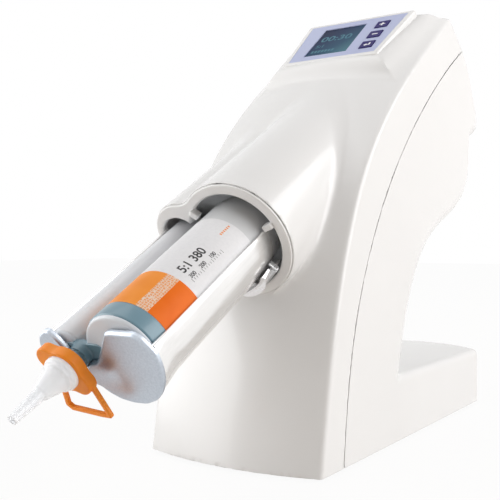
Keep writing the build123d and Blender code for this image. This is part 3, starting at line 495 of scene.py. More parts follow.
# %% The casing's column and foot
HALF_WIDTH, CROWN, WALL, LIFT = 80.0, 13.0, 3.0, 2.0
FRONT_LINE = [(0, 0), (28, 129), (79, 237), (138, 300), (207, 353), (262, 391)]
TOP_LINE = [(262, 391), (299, 368), (330, 340), (352, 309)]
HEAD_CORNER = (350, 291)
UNDER_LINE = [(329, 284), (319, 230), (262, 196), (204, 166), (168, 121), (144, 58)]
SEAM_LINE = [(30, -60), (35, 0), (53, 102), (108, 207), (215, 312), (299, 368), (345, 392), (420, 425)]
SIDE = FlatRule(
    [(-9, -60)]
    + smooth_line(FRONT_LINE).tolist()
    + smooth_line(TOP_LINE, 24)[1:].tolist()
    + [HEAD_CORNER]
    + smooth_line(UNDER_LINE).tolist()
    + [(144, -60)]
)
SEAM = FlatRule(smooth_line(SEAM_LINE, 90).tolist() + [(420, 600), (-300, 600), (-300, -60)], 10.0)
EDGE_FRONT, EDGE_REAR, EDGE_REACH = 3.0, 12.0, 70.0
FOOT_FRONT, FOOT_TOP, FOOT_EDGE, BACK_BULGE = 60.0, 58.0, 6.0, 34.0


def foot_outline():
    """The foot from above: straight sides and a round back."""
    radius = (HALF_WIDTH**2 + BACK_BULGE**2) / (2 * BACK_BULGE)
    sweep = math.asin(HALF_WIDTH / radius)
    middle = FOOT_DEPTH - radius
    arc = [(radius * math.sin(a), middle + radius * math.cos(a)) for a in np.linspace(-sweep, sweep, 60)]
    return [(-HALF_WIDTH, FOOT_FRONT)] + arc + [(HALF_WIDTH, FOOT_FRONT)]


FOOT = FlatRule(foot_outline())


def column_rule(x, y, z):
    """The column, its front edges tight and its rear edges wide."""
    depth = y - FRONT_Y
    swollen = SIDE(depth, z) - CROWN * (1 - (x / HALF_WIDTH) ** 2)
    behind = np.clip(SEAM(depth, z) / EDGE_REACH, 0, 1)
    edge = EDGE_FRONT + (EDGE_REAR - EDGE_FRONT) * behind * behind * (3 - 2 * behind)
    return both(swollen, abs(x) - HALF_WIDTH, edge)


def foot_rule(x, y, z):
    return both(FOOT(x, y - FRONT_Y), z - FOOT_TOP, FOOT_EDGE)


print("column:", 2 * HALF_WIDTH, "mm wide, foot:", FOOT_DEPTH, "mm deep")

# %% [markdown]
# Both sleeves of the nose are round tubes side by side, with a soft valley between them. A
# flattened flare behind the collar leads them into the column, and it widens towards the back.

# %% The casing's nose
SLEEVE_R, SMALL_SLEEVE_X, SMALL_SLEEVE_V, SMALL_SLEEVE_R, VALLEY = 48.5, -37.0, 7.0, 25.6, 7.0
FLARE_START, FLARE_LENGTH, NOSE_END = 3.0, 138.0, 232.0
FLARE_HALF, FLARE_BELOW, FLARE_ABOVE = (52, 18), (40, 4), (6, 4)


def sleeve_pair(x, v, grow=0.0):
    """Both sleeves in the nose's view, joined by a soft valley."""
    large = np.sqrt((x - BARREL_X) ** 2 + v * v) - SLEEVE_R - grow
    small = np.sqrt((x - SMALL_SLEEVE_X) ** 2 + (v - SMALL_SLEEVE_V) ** 2) - SMALL_SLEEVE_R - grow
    return either(large, small, VALLEY)


def flare_rule(x, v, s):
    """The flattened flare: each of its sizes is a start and what it gains along its length."""
    t = np.minimum((s - FLARE_START) / FLARE_LENGTH, 1.1)
    half, low, high = (start + gain * t for start, gain in (FLARE_HALF, FLARE_BELOW, FLARE_ABOVE))
    tall = (low + high) / 2
    round_by = tall - 1
    ux = np.maximum(abs(x) - half + round_by, 0)
    uv = np.maximum(abs(v + (low - high) / 2) - tall + round_by, 0)
    return both(np.sqrt(ux * ux + uv * uv) - round_by, FLARE_START - s, 2.0)


def nose_rule(x, y, z):
    nx, v, s = nose_view(x, y, z)
    sleeves = both(sleeve_pair(nx, v), -s)
    return both(either(sleeves, flare_rule(nx, v, s), 3.0), s - NOSE_END)


print("sleeves:", 2 * SLEEVE_R, "and", 2 * SMALL_SLEEVE_R, "mm across")

# %% [markdown]
# The control panel lies on a slope, so it has its own view too: across, up the slope and
# straight out. The casing swells softly round it. All the parts of the casing are then joined
# into one rule, and a second rule says where it is cut open: its bottom, the panel's hole,
# the rear window and the nose's mouth.

# %% The panel's view and the whole casing
FASCIA_Y, FASCIA_Z = FRONT_Y + 161.3, 344.9
FASCIA_TILT = math.radians(37.8)
FASCIA_COS, FASCIA_SIN = math.cos(FASCIA_TILT), math.sin(FASCIA_TILT)
PLATE_LOW, PLATE_HIGH, PLATE_SLANT = 89.7 / 2, 104.6 / 2, 78.5
SWELL_GROW, SWELL_DEPTH, SWELL_HALF, SWELL_LEAN, SWELL_EDGE, SWELL_BLEND = 11.0, 25.6, 20.0, 0.045, 5.5, 22.0
HOLE_GROW, HOLE_DEPTH, SEAM_GAP = 3.4, 12.0, 0.45


def panel_view(x, y, z):
    """Across, up the slope and out of the display plate."""
    dy, dz = y - FASCIA_Y, z - FASCIA_Z
    return x, dy * FASCIA_COS + dz * FASCIA_SIN, dz * FASCIA_COS - dy * FASCIA_SIN


def plate_flank(px, up):
    """The distance from the plate's two slanting sides."""
    lean = (PLATE_HIGH - PLATE_LOW) / PLATE_SLANT
    return (abs(px) - PLATE_LOW - lean * up) / math.sqrt(1 + lean * lean)


def panel_rule(px, up, grow):
    """The endless block under the display plate's outline."""
    return np.maximum(np.maximum(plate_flank(px, up), -up), up - PLATE_SLANT) - grow


def whole_rule(x, y, z):
    """The casing's outer surface, with a low swelling that carries the control panel."""
    px, up, out = panel_view(x, y, z)
    layer = abs(out + SWELL_DEPTH + SWELL_LEAN * up) - SWELL_HALF
    swelling = both(panel_rule(px, up, SWELL_GROW), layer, SWELL_EDGE)
    head = np.maximum(either(column_rule(x, y, z), swelling, SWELL_BLEND), abs(x) - (HALF_WIDTH - 0.05))
    upper = either(head, nose_rule(x, y, z), 5.0)
    return either(upper, foot_rule(x, y, z))


def cuts_rule(x, y, z):
    """Above zero where the casing is cut away: its bottom, panel opening, rear window and mouth."""
    px, up, out = panel_view(x, y, z)
    hole = np.maximum(panel_rule(px, up, HOLE_GROW), -out - HOLE_DEPTH)
    window = both(slab(x, 0, 31.0), slab(z, 29.0, 17.0), 3.0)
    window = np.maximum(window, FRONT_Y + FOOT_DEPTH - 60 - y)
    nx, v, s = nose_view(x, y, z)
    mouth = np.maximum(sleeve_pair(nx, v, -WALL), s)
    return np.maximum(np.maximum(np.maximum(LIFT - z, -hole), -window), -mouth)


def front_cuts(x, y, z):
    return np.maximum(cuts_rule(x, y, z), SEAM(y - FRONT_Y, z) + SEAM_GAP)


def rear_cuts(x, y, z):
    return np.maximum(cuts_rule(x, y, z), SEAM_GAP - SEAM(y - FRONT_Y, z))


print("panel:", 2 * PLATE_LOW, "to", 2 * PLATE_HIGH, "mm wide,", PLATE_SLANT, "mm up its slope")

# %% [markdown]
# Each shell starts as a full body. The faces that a cut left inside it are taken away, which
# leaves an open skin with clean rims. A Solidify modifier then gives the skin the thickness
# of moulded plastic, and a small Bevel rounds every rim, so the seam catches a line of light.

# %% Skin both shells
GRID, NEAR = 2.6, 0.3


def final_mesh(made):
    """The plain mesh that an object comes to with its modifiers."""
    bpy.context.view_layer.update()
    return bpy.data.meshes.new_from_object(made.evaluated_get(bpy.context.evaluated_depsgraph_get()))


def baked(made, *modifiers):
    """Puts modifiers on a piece and keeps the mesh that they make."""
    for kind, settings in modifiers:
        modifier = made.modifiers.new(kind.lower(), kind)
        for key, value in settings.items():
            setattr(modifier, key, value)
    mesh = final_mesh(made)
    made.modifiers.clear()
    made.data = mesh
    return made


def shell(name, cuts, low, high):
    """A thin shell: the casing's outer skin, less its cut faces, given a wall."""
    points, faces = skin(lambda x, y, z: np.maximum(whole_rule(x, y, z), cuts(x, y, z)), low, high, GRID)
    middle = points[faces].mean(1)
    outer = (whole_rule(*middle.T) > -NEAR) | (cuts(*middle.T) < -2.0)
    nx, v, s = nose_view(*middle.T)
    outer &= ~((abs(s) < NEAR) & (sleeve_pair(nx, v) < -NEAR))
    made = piece(name, points, faces[outer], WHITE)
    wall = {"thickness": WALL * MM, "offset": -1, "use_rim": True}
    rim = {"width": 0.5 * MM, "segments": 2, "limit_method": "ANGLE", "angle_limit": math.radians(50)}
    baked(made, ("SOLIDIFY", wall), ("BEVEL", rim))
    places = np.array([v.co for v in made.data.vertices])
    places[:, 2] = np.maximum(places[:, 2], LIFT * MM)
    made.data.vertices.foreach_set("co", places.ravel())
    made.data.update()
    print(name, "made thick:", len(made.data.polygons), "faces")
    return made


casing_front = shell("casing_front", front_cuts, (-84, FRONT_Y - 44, -3), (84, FRONT_Y + 350, 412))
casing_rear = shell("casing_rear", rear_cuts, (-84, FRONT_Y + 20, -3), (84, FRONT_Y + 386, 412))
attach(casing_front, "machine")
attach(casing_rear, "machine")
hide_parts("front_housing")
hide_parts("rear_housing")

# %% [markdown]
# ## Pieces of the nose
# The barrels, the tray and the tip all lie along three lines of the nose. Round ones are
# turned: a small closed outline is swept round its line, with its corners softened first.
# The others get a rule in the nose's own view, where their edges are simply rounded by the
# radius that is given to the "and". Both are then carried over to the machine's frame.

# %% Turned pieces and pieces by rule
def softened(outline, radius, steps=3):
    """A closed outline with each corner rounded; a third number is a corner's own radius."""
    places = [np.array(p[:2], float) for p in outline]
    out = []
    for index, here in enumerate(places):
        own = outline[index][2] if len(outline[index]) > 2 else radius
        before, after = places[index - 1] - here, places[(index + 1) % len(places)] - here
        cut = min(own, 0.45 * np.linalg.norm(before), 0.45 * np.linalg.norm(after))
        start = here + before / np.linalg.norm(before) * cut
        end = here + after / np.linalg.norm(after) * cut
        for t in np.linspace(0, 1, steps + 1) if own else [0.5]:
            out.append((1 - t) ** 2 * start + 2 * t * (1 - t) * here + t * t * end if own else here)
    return np.array(out)


def closed(made, angle=32.0):
    """Merges doubles, turns every face outwards and shades the piece again."""
    work = bmesh.new()
    work.from_mesh(made.data)
    bmesh.ops.remove_doubles(work, verts=work.verts, dist=0.000002)
    bmesh.ops.dissolve_degenerate(work, edges=work.edges, dist=0.000001)
    bmesh.ops.recalc_face_normals(work, faces=work.faces)
    work.to_mesh(made.data)
    work.free()
    made.data.shade_smooth()
    made.data.set_sharp_from_angle(angle=math.radians(angle))
    return made


def turned(name, outline, x, v, material, radius=0.4, count=96, angle=32.0):
    """A piece turned about the line at x, v from a closed outline of (radius, s)."""
    loop = softened(outline, radius)
    loop[:, 0] = np.maximum(loop[:, 0], 0)
    turn = np.linspace(0, 2 * math.pi, count, endpoint=False)
    r, s = loop[:, 0][None, :], loop[:, 1][None, :]
    px, pv = x + r * np.cos(turn)[:, None], v + r * np.sin(turn)[:, None]
    points = np.stack(nose_point(px.ravel(), pv.ravel(), np.repeat(s, count, 0).ravel()), 1)
    n = len(loop)
    faces = []
    for i in range(count):
        for j in range(n):
            a, b = i * n, (i + 1) % count * n
            faces.append((a + j, b + j, b + (j + 1) % n, a + (j + 1) % n))
    return closed(piece(name, points, faces, material, angle), angle)


def by_rule(name, rule, low, high, step, material, angle=32.0):
    """A piece drawn by a rule in the nose's own view, put in its place."""
    points, faces = skin(rule, low, high, step)
    return piece(name, np.stack(nose_point(*points.T), 1), faces[:, ::-1], material, angle)


def give(made, body, *nodes):
    """Lets a piece ride on a body and stand for the nodes that it replaces."""
    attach(made, body)
    if nodes:
        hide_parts(*nodes)
    return made


FINE = 0.6
print("finest grid:", FINE, "mm")

# %% [markdown]
# The collar closes the nose. A rounded white lip covers the edge of the casing, and leaves a
# fine shadow line. Two lugs stand in from it and hold the tray's rim down, and two ears at
# the bottom carry the tray's hinge pin.

# %% Collar
BORE_R, SMALL_BORE_R, SMALL_BORE_X, SMALL_BORE_V = 39.5, 18.2, -39.52, 2.5
LUG_OUT, LUG_HALF, LUG_EDGE = 41.0, 2.4, 0.9
HINGE_S, HINGE_V, EAR_R = -3.0, -35.9, 3.5


def lug_rule(x, v, s, angle, inside):
    """A small radial block that stands in from the large opening."""
    turn = math.radians(angle)
    along = (x - BARREL_X) * math.cos(turn) + v * math.sin(turn)
    across = v * math.cos(turn) - (x - BARREL_X) * math.sin(turn)
    block = both(span(along, inside, LUG_OUT), abs(across) - LUG_HALF, LUG_EDGE)
    return both(block, slab(s, -2.2, 3.4), LUG_EDGE)


def collar_rule(x, v, s):
    """The lip and the ring behind it, both openings, two lugs and the ears of the hinge."""
    outline = sleeve_pair(x, v)
    lip = both(outline + 0.9, slab(s, -1.35, 1.25), 1.2)
    body = np.maximum(outline + 3.4, slab(s, 2.5, 3.5))
    small_bore = round_at(x, v, SMALL_BORE_X, SMALL_BORE_V, SMALL_BORE_R)
    openings = np.minimum(round_at(x, v, BARREL_X, 0, BORE_R), small_bore)
    ring = both(np.minimum(lip, body), -openings, 1.8)
    ring = np.minimum(ring, lug_rule(x, v, s, 20.5, 32.6))
    ring = np.minimum(ring, lug_rule(x, v, s, 139.5, 33.4))
    knuckle = np.maximum(np.maximum(slab(x, BARREL_X, 8.2), v + 31), -41.0 - v)
    bridge = np.maximum(slab(v, HINGE_V, EAR_R), slab(s, 1.5, 4.5))
    ear = np.minimum(round_at(s, v, HINGE_S, HINGE_V, EAR_R), bridge)
    ears = both(ear, abs(abs(x - BARREL_X) - 10.1) - 1.75, 0.5)
    return np.minimum(np.maximum(ring, -knuckle), ears)


collar = by_rule("nose_lip", collar_rule, (-66, -52, -7.5), (62, 52, 7.5), FINE * 1.1, WHITE)
give(collar, "machine", "nose_collar")

# %% [markdown]
# ## Control panel
# The bezel stands a little out of the head, like a shallow tray turned upside down: a draft
# on its sides, a round edge, and a sunken place for the printed plate. It is drawn by a rule
# in the panel's own view: across, up the slope and straight out.

# %% Bezel and plate
BEZEL_GROW, BEZEL_DEPTH, BEZEL_LIP, DRAFT_DEPTH, DRAFT = 4.9, 20.0, 2.6, 14.0, 1.8
SEAT_GROW, SEAT_DEPTH = 0.12, 1.6


def panel_point(px, up, out):
    """A place of the panel's own view, as x, y, z in millimetres."""
    return px, FASCIA_Y + up * FASCIA_COS - out * FASCIA_SIN, FASCIA_Z + up * FASCIA_SIN + out * FASCIA_COS


def plate_side(px, up, grow):
    """The distance from the plate's outline in its flat view, grown with round corners."""
    side, length = plate_flank(px, up), span(up, 0, PLATE_SLANT)
    return both(side - grow, length - grow, 2.2) if grow > 1 else np.maximum(side, length) - grow


def bezel_rule(px, up, out):
    """A block with a draft on its sides, hollow inside, with a shallow seat for the plate."""
    draft = np.clip(-out / DRAFT_DEPTH, 0, 1) * DRAFT
    outside = both(plate_side(px, up, BEZEL_GROW) - draft, out, 1.6)
    outside = np.maximum(outside, -out - BEZEL_DEPTH)
    hollow = np.maximum(plate_side(px, up, -BEZEL_LIP), out - 2)
    seat = np.maximum(plate_side(px, up, SEAT_GROW), -out - SEAT_DEPTH)
    return np.maximum(np.maximum(outside, -hollow), -seat)


def panel_piece(name, rule, low, high, step, material):
    points, faces = skin(rule, low, high, step)
    return piece(name, np.stack(panel_point(*points.T), 1), faces, material)


bezel = panel_piece("bezel", bezel_rule, (-64, -10, -23), (64, 90, 2.5), FINE * 1.5, WHITE)
give(bezel, "machine", "display_bezel")

LCD_LOW, LCD_HIGH, LCD_LEFT, LCD_RIGHT = 9.4, PLATE_SLANT - 10.2, -32.9, 12.5
KEY_X, KEY_FIRST, KEY_PITCH = 32.0, 16.5, (PLATE_SLANT - 16.5 - 19.0) / 2
KEY_HALF_X, KEY_HALF_UP, KEY_ROOM, SKIRT = 6.5, 6.75, 0.3, 1.2
KEYS = {"key_enter": 0, "key_minus": 1, "key_plus": 2}


def plate_rule(px, up, out):
    """The printed plate with its window and its three key holes."""
    body = both(plate_side(px, up, 0.0), slab(out, -0.8, 0.8), 0.35)
    holes = np.maximum(span(px, LCD_LEFT, LCD_RIGHT), span(up, LCD_LOW, LCD_HIGH))
    for index in KEYS.values():
        rise = up - KEY_FIRST - index * KEY_PITCH
        hole = both(slab(px, KEY_X, KEY_HALF_X + KEY_ROOM), abs(rise) - (KEY_HALF_UP + KEY_ROOM), 1.1)
        holes = np.minimum(holes, hole)
    return both(body, -holes, 0.3)


PRINT = moulded(
    "pale_blue_print", (0.43, 0.47, 0.68), (0.50, 0.545, 0.75), 0.42, 0.000006, 1500, Specular_IOR_Level=0.25)
plate = panel_piece("printed_plate", plate_rule, (-55, -2, -2.2), (55, 81, 0.6), FINE, PRINT)
give(plate, "machine", "display_plate")

# %% [markdown]
# The three keys are dark blue pads with a slightly hollow top. Each has a white sign: plus,
# minus and an arrow for "enter". A sign is a flat curve that is filled, made a mesh, laid on
# the key's hollow top and given to the key's own body, so that it goes down with the key.

# %% Keys and their signs
NAVY = moulded(
    "navy_key_plastic", (0.020, 0.014, 0.105), (0.032, 0.024, 0.14), 0.5, 0.00001, 1400,
    Specular_IOR_Level=0.15)
INK_WHITE, ink_shader = new_material("white_key_ink", (0.86, 0.86, 0.9), 0.45)
vary(INK_WHITE, ink_shader, ((0.80, 0.80, 0.86), (0.9, 0.9, 0.93)), 300, (0.4, 0.5))
SIGN_SCALE, SIGN_THICK, SIGN_OUT, HOLLOW = 0.86, 0.3, 0.36, 0.35
SIGNS = {
    "key_plus": [
        (-3.4, -0.95), (-0.95, -0.95), (-0.95, -3.4), (0.95, -3.4), (0.95, -0.95), (3.4, -0.95),
        (3.4, 0.95), (0.95, 0.95), (0.95, 3.4), (-0.95, 3.4), (-0.95, 0.95), (-3.4, 0.95),
    ],
    "key_minus": [(-3.3, -1.0), (3.3, -1.0), (3.3, 1.0), (-3.3, 1.0)],
    "key_enter": [
        (-3.9, -1.3), (-0.9, -4.0), (-0.9, -2.2), (3.6, -2.2), (3.6, 3.2), (1.8, 3.2), (1.8, -0.4),
        (-0.9, -0.4), (-0.9, 1.4),
    ],
}


def melted(holder):
    """The plain mesh of a curve, a text or a node tree's holder, which is then removed."""
    mesh = final_mesh(holder)
    bpy.data.objects.remove(holder)
    return mesh


def points_of(mesh):
    return np.array([v.co for v in mesh.vertices])


def filled(name, outlines, thickness):
    """A flat mesh plate from closed outlines, lying at z = 0 and rising by its thickness."""
    curve = bpy.data.curves.new(name, "CURVE")
    curve.dimensions, curve.fill_mode = "2D", "BOTH"
    curve.extrude = thickness / 2
    for outline in outlines:
        line = curve.splines.new("POLY")
        line.points.add(len(outline) - 1)
        for point, place in zip(line.points, outline):
            point.co = (*place, 0, 1)
        line.use_cyclic_u = True
    mesh = melted(shown(name, curve))
    return points_of(mesh) + np.array([0, 0, thickness / 2]), [tuple(f.vertices) for f in mesh.polygons]


def pad_rule(px, up, out, middle):
    """A key's pad with its hollow top, and the skirt under the plate that keeps it in."""
    hollow = HOLLOW * (1 - ((px - KEY_X) / KEY_HALF_X) ** 2) * (1 - ((up - middle) / KEY_HALF_UP) ** 2)
    flat = both(slab(px, KEY_X, KEY_HALF_X), slab(up, middle, KEY_HALF_UP), 0.8)
    top = both(flat, np.maximum(out - 0.8 + hollow, -out - 1.9), 0.5)
    wide, long = slab(px, KEY_X, KEY_HALF_X + SKIRT), slab(up, middle, KEY_HALF_UP + SKIRT)
    return np.minimum(top, np.maximum(np.maximum(wide, long), slab(out, -2.5, 0.6)))


for key, index in KEYS.items():
    middle = KEY_FIRST + index * KEY_PITCH
    low, high = (KEY_X - 9, middle - 9.3, -3.6), (KEY_X + 9, middle + 9.3, 1.4)
    pad = panel_piece("pad_" + key, lambda *place: pad_rule(*place, middle), low, high, 0.45, NAVY)
    give(pad, key, key)
    sign, faces = filled("sign_" + key, [SIGNS[key]], SIGN_THICK)
    across, along = sign[:, 0] * SIGN_SCALE + KEY_X, sign[:, 1] * SIGN_SCALE + middle
    places = panel_point(across, along, sign[:, 2] + SIGN_OUT)
    give(closed(piece("sign_" + key, np.stack(places, 1), faces, INK_WHITE)), key)

# %% [markdown]
# The display glass is dark teal, with painted shade: darkest near its upper left corner, where
# the window's edge would shade it. Under it lies a fine square grid of display dots.

# %% Display glass
LCD_WIDE, LCD_TALL, DOT_PITCH = LCD_RIGHT - LCD_LEFT, LCD_HIGH - LCD_LOW, 0.7
# This teal ramp is painted shade: darkest at the upper left, where the window's edge would shade the glass.
PAINTED_SHADE_TEALS = [
    (0.05, (0.004, 0.010, 0.045)), (0.35, (0.009, 0.030, 0.088)),
    (0.65, (0.020, 0.075, 0.140)), (0.95, (0.070, 0.195, 0.245)),
]
GLASS, glass_shader = new_material("display_glass", (0.03, 0.10, 0.16), 0.3, Specular_IOR_Level=0.04)
tree = GLASS.node_tree
where = node(tree, "ShaderNodeTexCoord").outputs["Object"]
middle = Vector(panel_point(0, 0, 0)) * MM
lay = {"Vector": where, "Location": middle, "Rotation": (FASCIA_TILT, 0, 0)}
flat = node(tree, "ShaderNodeMapping", lay, vector_type="TEXTURE").outputs["Vector"]
split = node(tree, "ShaderNodeSeparateXYZ", {"Vector": flat}).outputs
across = sums(tree, "MULTIPLY_ADD", split["X"], 1 / (LCD_WIDE * MM), -LCD_LEFT / LCD_WIDE)
along = sums(tree, "MULTIPLY_ADD", split["Y"], 1 / (LCD_TALL * MM), -LCD_LOW / LCD_TALL)
slant = sums(tree, "MULTIPLY", sums(tree, "ADD", across, sums(tree, "SUBTRACT", 1.0, along)), 0.5)


def dot_lines(value):
    """1 on fine lines, one for each dot of the display."""
    wave = sums(tree, "SINE", sums(tree, "MULTIPLY", value, 2 * math.pi / (DOT_PITCH * MM)))
    return sums(tree, "GREATER_THAN", wave, 0.8)


dots = sums(tree, "MAXIMUM", dot_lines(split["X"]), dot_lines(split["Y"]))
faint = sums(tree, "MULTIPLY", dots, 0.35)
shades = {"Factor": faint, "A": ramp(GLASS, slant, PAINTED_SHADE_TEALS), "B": (0.55, 0.62, 0.66, 1)}
mix = node(tree, "ShaderNodeMix", shades, data_type="RGBA", blend_type="MULTIPLY")
tree.links.new(mix.outputs["Result"], glass_shader.inputs["Base Color"])
relief(GLASS, glass_shader, 400, 0.000004)


def finish(material, *nodes):
    """Gives carried-over nodes a finish."""
    for name in nodes:
        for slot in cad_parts[name].material_slots:
            slot.material = material


finish(GLASS, "lcd_module")
print("display:", round(LCD_WIDE, 1), "x", round(LCD_TALL, 1), "mm")

# %% [markdown]
# ## Paste barrels
# The large barrel is a light grey tube with a blue-grey collar band at its front end. The
# small one beside it is plain satin grey. Both are turned, with a small round edge where
# the light catches. A blue-grey neck leads the two pastes together into the mixing tip.

# %% Barrels, cap and pistons
SMALL_R, BARREL_BACK, TUBE_FRONT, BARREL_FRONT = 14.02, 12, -128.6, -142.9
DISC_R, SMALL_DISC_R, NECK_R, WAIST_R, NECK_BORE = 28.9, 13.7, 7.9, 6.6, 3.3
BARREL_GREY = moulded("barrel_grey_plastic", (0.60, 0.61, 0.625), (0.68, 0.69, 0.70), 0.3, 0.00001)
SILVER_GREY = moulded(
    "small_barrel_plastic", (0.72, 0.735, 0.77), (0.79, 0.80, 0.83), 0.3, 0.000008, Coat_Weight=0.2)
BLUE_GREY = moulded(
    "blue_grey_plastic", (0.115, 0.215, 0.275), (0.165, 0.285, 0.35), 0.3, 0.00001, Coat_Weight=0.2)
CAP_GREY = moulded(
    "cap_pale_plastic", (0.64, 0.68, 0.74), (0.74, 0.775, 0.82), 0.32, 0.00001, Coat_Weight=0.2)
CHALK = moulded("piston_plastic", (0.70, 0.70, 0.68), (0.78, 0.78, 0.76), 0.45, 0.00002, 700)

TUBE = [(28.0, BARREL_BACK), (29.4, BARREL_BACK), (29.4, TUBE_FRONT), (28.0, TUBE_FRONT)]
BAND = [(28.0, -128.7), (29.75, -128.7), (29.75, -141.6, 1.2), (28.0, BARREL_FRONT, 0.2)]
SLIM = [(12.52, BARREL_BACK), (SMALL_R, BARREL_BACK), (SMALL_R, -141.5, 1.5), (12.6, BARREL_FRONT, 0.2)]
give(turned("barrel_tube", TUBE, BARREL_X, 0, BARREL_GREY, 0.3, 128), "tray", "large_barrel")
give(turned("barrel_band", BAND, BARREL_X, 0, BLUE_GREY, 0.35, 128), "tray", "large_barrel")
give(turned("small_tube", SLIM, SMALL_X, 0, SILVER_GREY, 0.3), "tray", "small_barrel")


def disc_rule(x, v, s):
    """The two slightly domed end discs."""
    large_dome = -s - 145.9 + 0.0016 * ((x - BARREL_X) ** 2 + v * v)
    small_dome = -s - 145.9 + 0.004 * ((x - SMALL_X) ** 2 + v * v)
    large = both(round_at(x, v, BARREL_X, 0, DISC_R), large_dome, 2.2)
    small = both(round_at(x, v, SMALL_X, 0, SMALL_DISC_R), small_dome, 2.0)
    return np.maximum(np.minimum(large, small), 142.2 + s)


def neck_rule(x, v, s):
    """The bridge between the discs, and the neck round the mixer shaft with its waist."""
    ends = np.hypot(np.maximum(slab(x, -21.0, 12.0), 0), v) - 7.5
    bridge = both(ends, slab(-s, 144.0, 2.3), 1.0)
    neck = both(round_at(x, v, SHAFT_X, 0, NECK_R), slab(-s, 150.0, 7.9), 1.0)
    waist = round_at(x, v, SHAFT_X, 0, WAIST_R)
    neck = np.maximum(neck, np.where(abs(-s - 153.6) < 1.5, waist, neck))
    return np.maximum(either(bridge, neck, 1.5), -round_at(x, v, SHAFT_X, 0, NECK_BORE))


discs = by_rule("barrel_ends", disc_rule, (-57, -32, -148), (43, 32, -140), FINE * 1.2, CAP_GREY)
give(discs, "tray", "barrel_cap")
neck = by_rule("paste_neck", neck_rule, (-44, -11, -160), (0, 11, -140), FINE, BLUE_GREY)
give(neck, "tray", "barrel_cap")
finish(CHALK, "large_piston", "small_piston")
print("barrels:", 2 * 29.4, "and", 2 * SMALL_R, "mm across")

# %% [markdown]
# ## The printed label
# The label wraps the large barrel: two tones of orange near the front with a pale strip of
# fine cells between them, and white paper behind. Its print follows the surface, so it reads
# the piece's own map: u is the way round and v the way along, both in units of 100 mm. The
# figures are plain numbers: the mixing ratio, the volume and a scale of what is left inside.

# %% Label paper and print
LABEL_R, LABEL_IN, LABEL_REAR, LABEL_FRONT = 29.6, 29.42, -20.0, -128.5
ORANGE_FROM, STRIP_LOW, STRIP_HIGH, STRIP_MIDDLE = -0.92, 51, 69, 59
MARK_LOW, MARK_HIGH, MARK_FRONT, MARK_REAR, DASH_PITCH = 55.0, 58.5, -0.36, -0.23, 0.022


def on_label(along, angle, lift=0.0):
    """A place on the label, from millimetres along and degrees round."""
    r, a = LABEL_R + lift, np.radians(angle)
    return nose_point(BARREL_X + r * np.cos(a), r * np.sin(a), along)


corners = [(LABEL_IN, LABEL_REAR), (LABEL_R, LABEL_REAR), (LABEL_R, LABEL_FRONT), (LABEL_IN, LABEL_FRONT)]
loop = softened(corners, 0.05, 1)
PAPER, paper_shader = new_material("label_print", (0.84, 0.84, 0.85), 0.5, Specular_IOR_Level=0.12)
label = turned("label_sleeve", loop, BARREL_X, 0, PAPER, 0.0, 180)
uv = label.data.uv_layers.new(name="UVMap")
for face in label.data.polygons:
    turns = []
    for corner in face.loop_indices:
        point = label.data.vertices[label.data.loops[corner].vertex_index].co
        x, v, s = nose_view(*(np.array(point) / MM))
        turns.append((math.degrees(math.atan2(v, x - BARREL_X)) % 360, s))
    wide = max(t for t, s in turns) - min(t for t, s in turns) > 180
    for corner, (t, s) in zip(face.loop_indices, turns):
        t = t + 360 if wide and t < 180 else t
        uv.data[corner].uv = (math.radians(t) * LABEL_R / 100, s / 100)

label_tree = PAPER.node_tree
spot = node(label_tree, "ShaderNodeUVMap", uv_map="UVMap").outputs["UV"]
parts = node(label_tree, "ShaderNodeSeparateXYZ", {"Vector": spot}).outputs
round_way, long_way = parts["X"], parts["Y"]


def colour_mix(factor, first, second):
    """A colour between two on the label; each may be a socket or a colour."""
    first, second = ((*colour, 1) if isinstance(colour, tuple) else colour for colour in (first, second))
    sides = {"Factor": factor, "A": first, "B": second}
    return node(label_tree, "ShaderNodeMix", sides, data_type="RGBA").outputs["Result"]


def arc(degrees):
    return math.radians(degrees) * LABEL_R / 100


def between(value, low, high):
    """1 where a value lies between two numbers."""
    above = sums(label_tree, "GREATER_THAN", value, low)
    return sums(label_tree, "MULTIPLY", above, sums(label_tree, "LESS_THAN", value, high))


cell_sizes = {"Scale": 52.0, "Randomness": 0.45, "Vector": spot}
cell_walls = node(label_tree, "ShaderNodeTexVoronoi", cell_sizes, feature="DISTANCE_TO_EDGE")
lines = sums(label_tree, "LESS_THAN", cell_walls.outputs["Distance"], 0.13)
strip = colour_mix(lines, (0.83, 0.36, 0.15), (0.84, 0.66, 0.54))
shade = noise(PAPER, 60, 2.0)
pale = two_tone(PAPER, shade, (0.86, 0.27, 0.030), (0.92, 0.33, 0.055))
deep = two_tone(PAPER, shade, (0.80, 0.150, 0.010), (0.86, 0.180, 0.018))
upper = sums(label_tree, "GREATER_THAN", round_way, arc(STRIP_MIDDLE))
orange = colour_mix(upper, deep, pale)
orange = colour_mix(between(round_way, arc(STRIP_LOW), arc(STRIP_HIGH)), orange, strip)
fibre = two_tone(PAPER, noise(PAPER, 420), (0.77, 0.77, 0.79), (0.83, 0.83, 0.845))
paint = colour_mix(sums(label_tree, "LESS_THAN", long_way, ORANGE_FROM), fibre, orange)
mark_round = between(round_way, arc(MARK_LOW), arc(MARK_HIGH))
mark = sums(label_tree, "MULTIPLY", mark_round, between(long_way, MARK_FRONT, MARK_REAR))
wave = sums(label_tree, "SINE", sums(label_tree, "MULTIPLY", long_way, 2 * math.pi / DASH_PITCH))
dashes = sums(label_tree, "GREATER_THAN", wave, -0.35)
paint = colour_mix(sums(label_tree, "MULTIPLY", mark, dashes), paint, (0.86, 0.33, 0.10))
label_tree.links.new(paint, paper_shader.inputs["Base Color"])
gloss = two_tone(PAPER, noise(PAPER, 90), grey(0.36), grey(0.48))
label_tree.links.new(gloss, paper_shader.inputs["Roughness"])
relief(PAPER, paper_shader, 900, 0.000006)
give(label, "tray", "barrel_label")
print("label:", LABEL_REAR - LABEL_FRONT, "mm long")

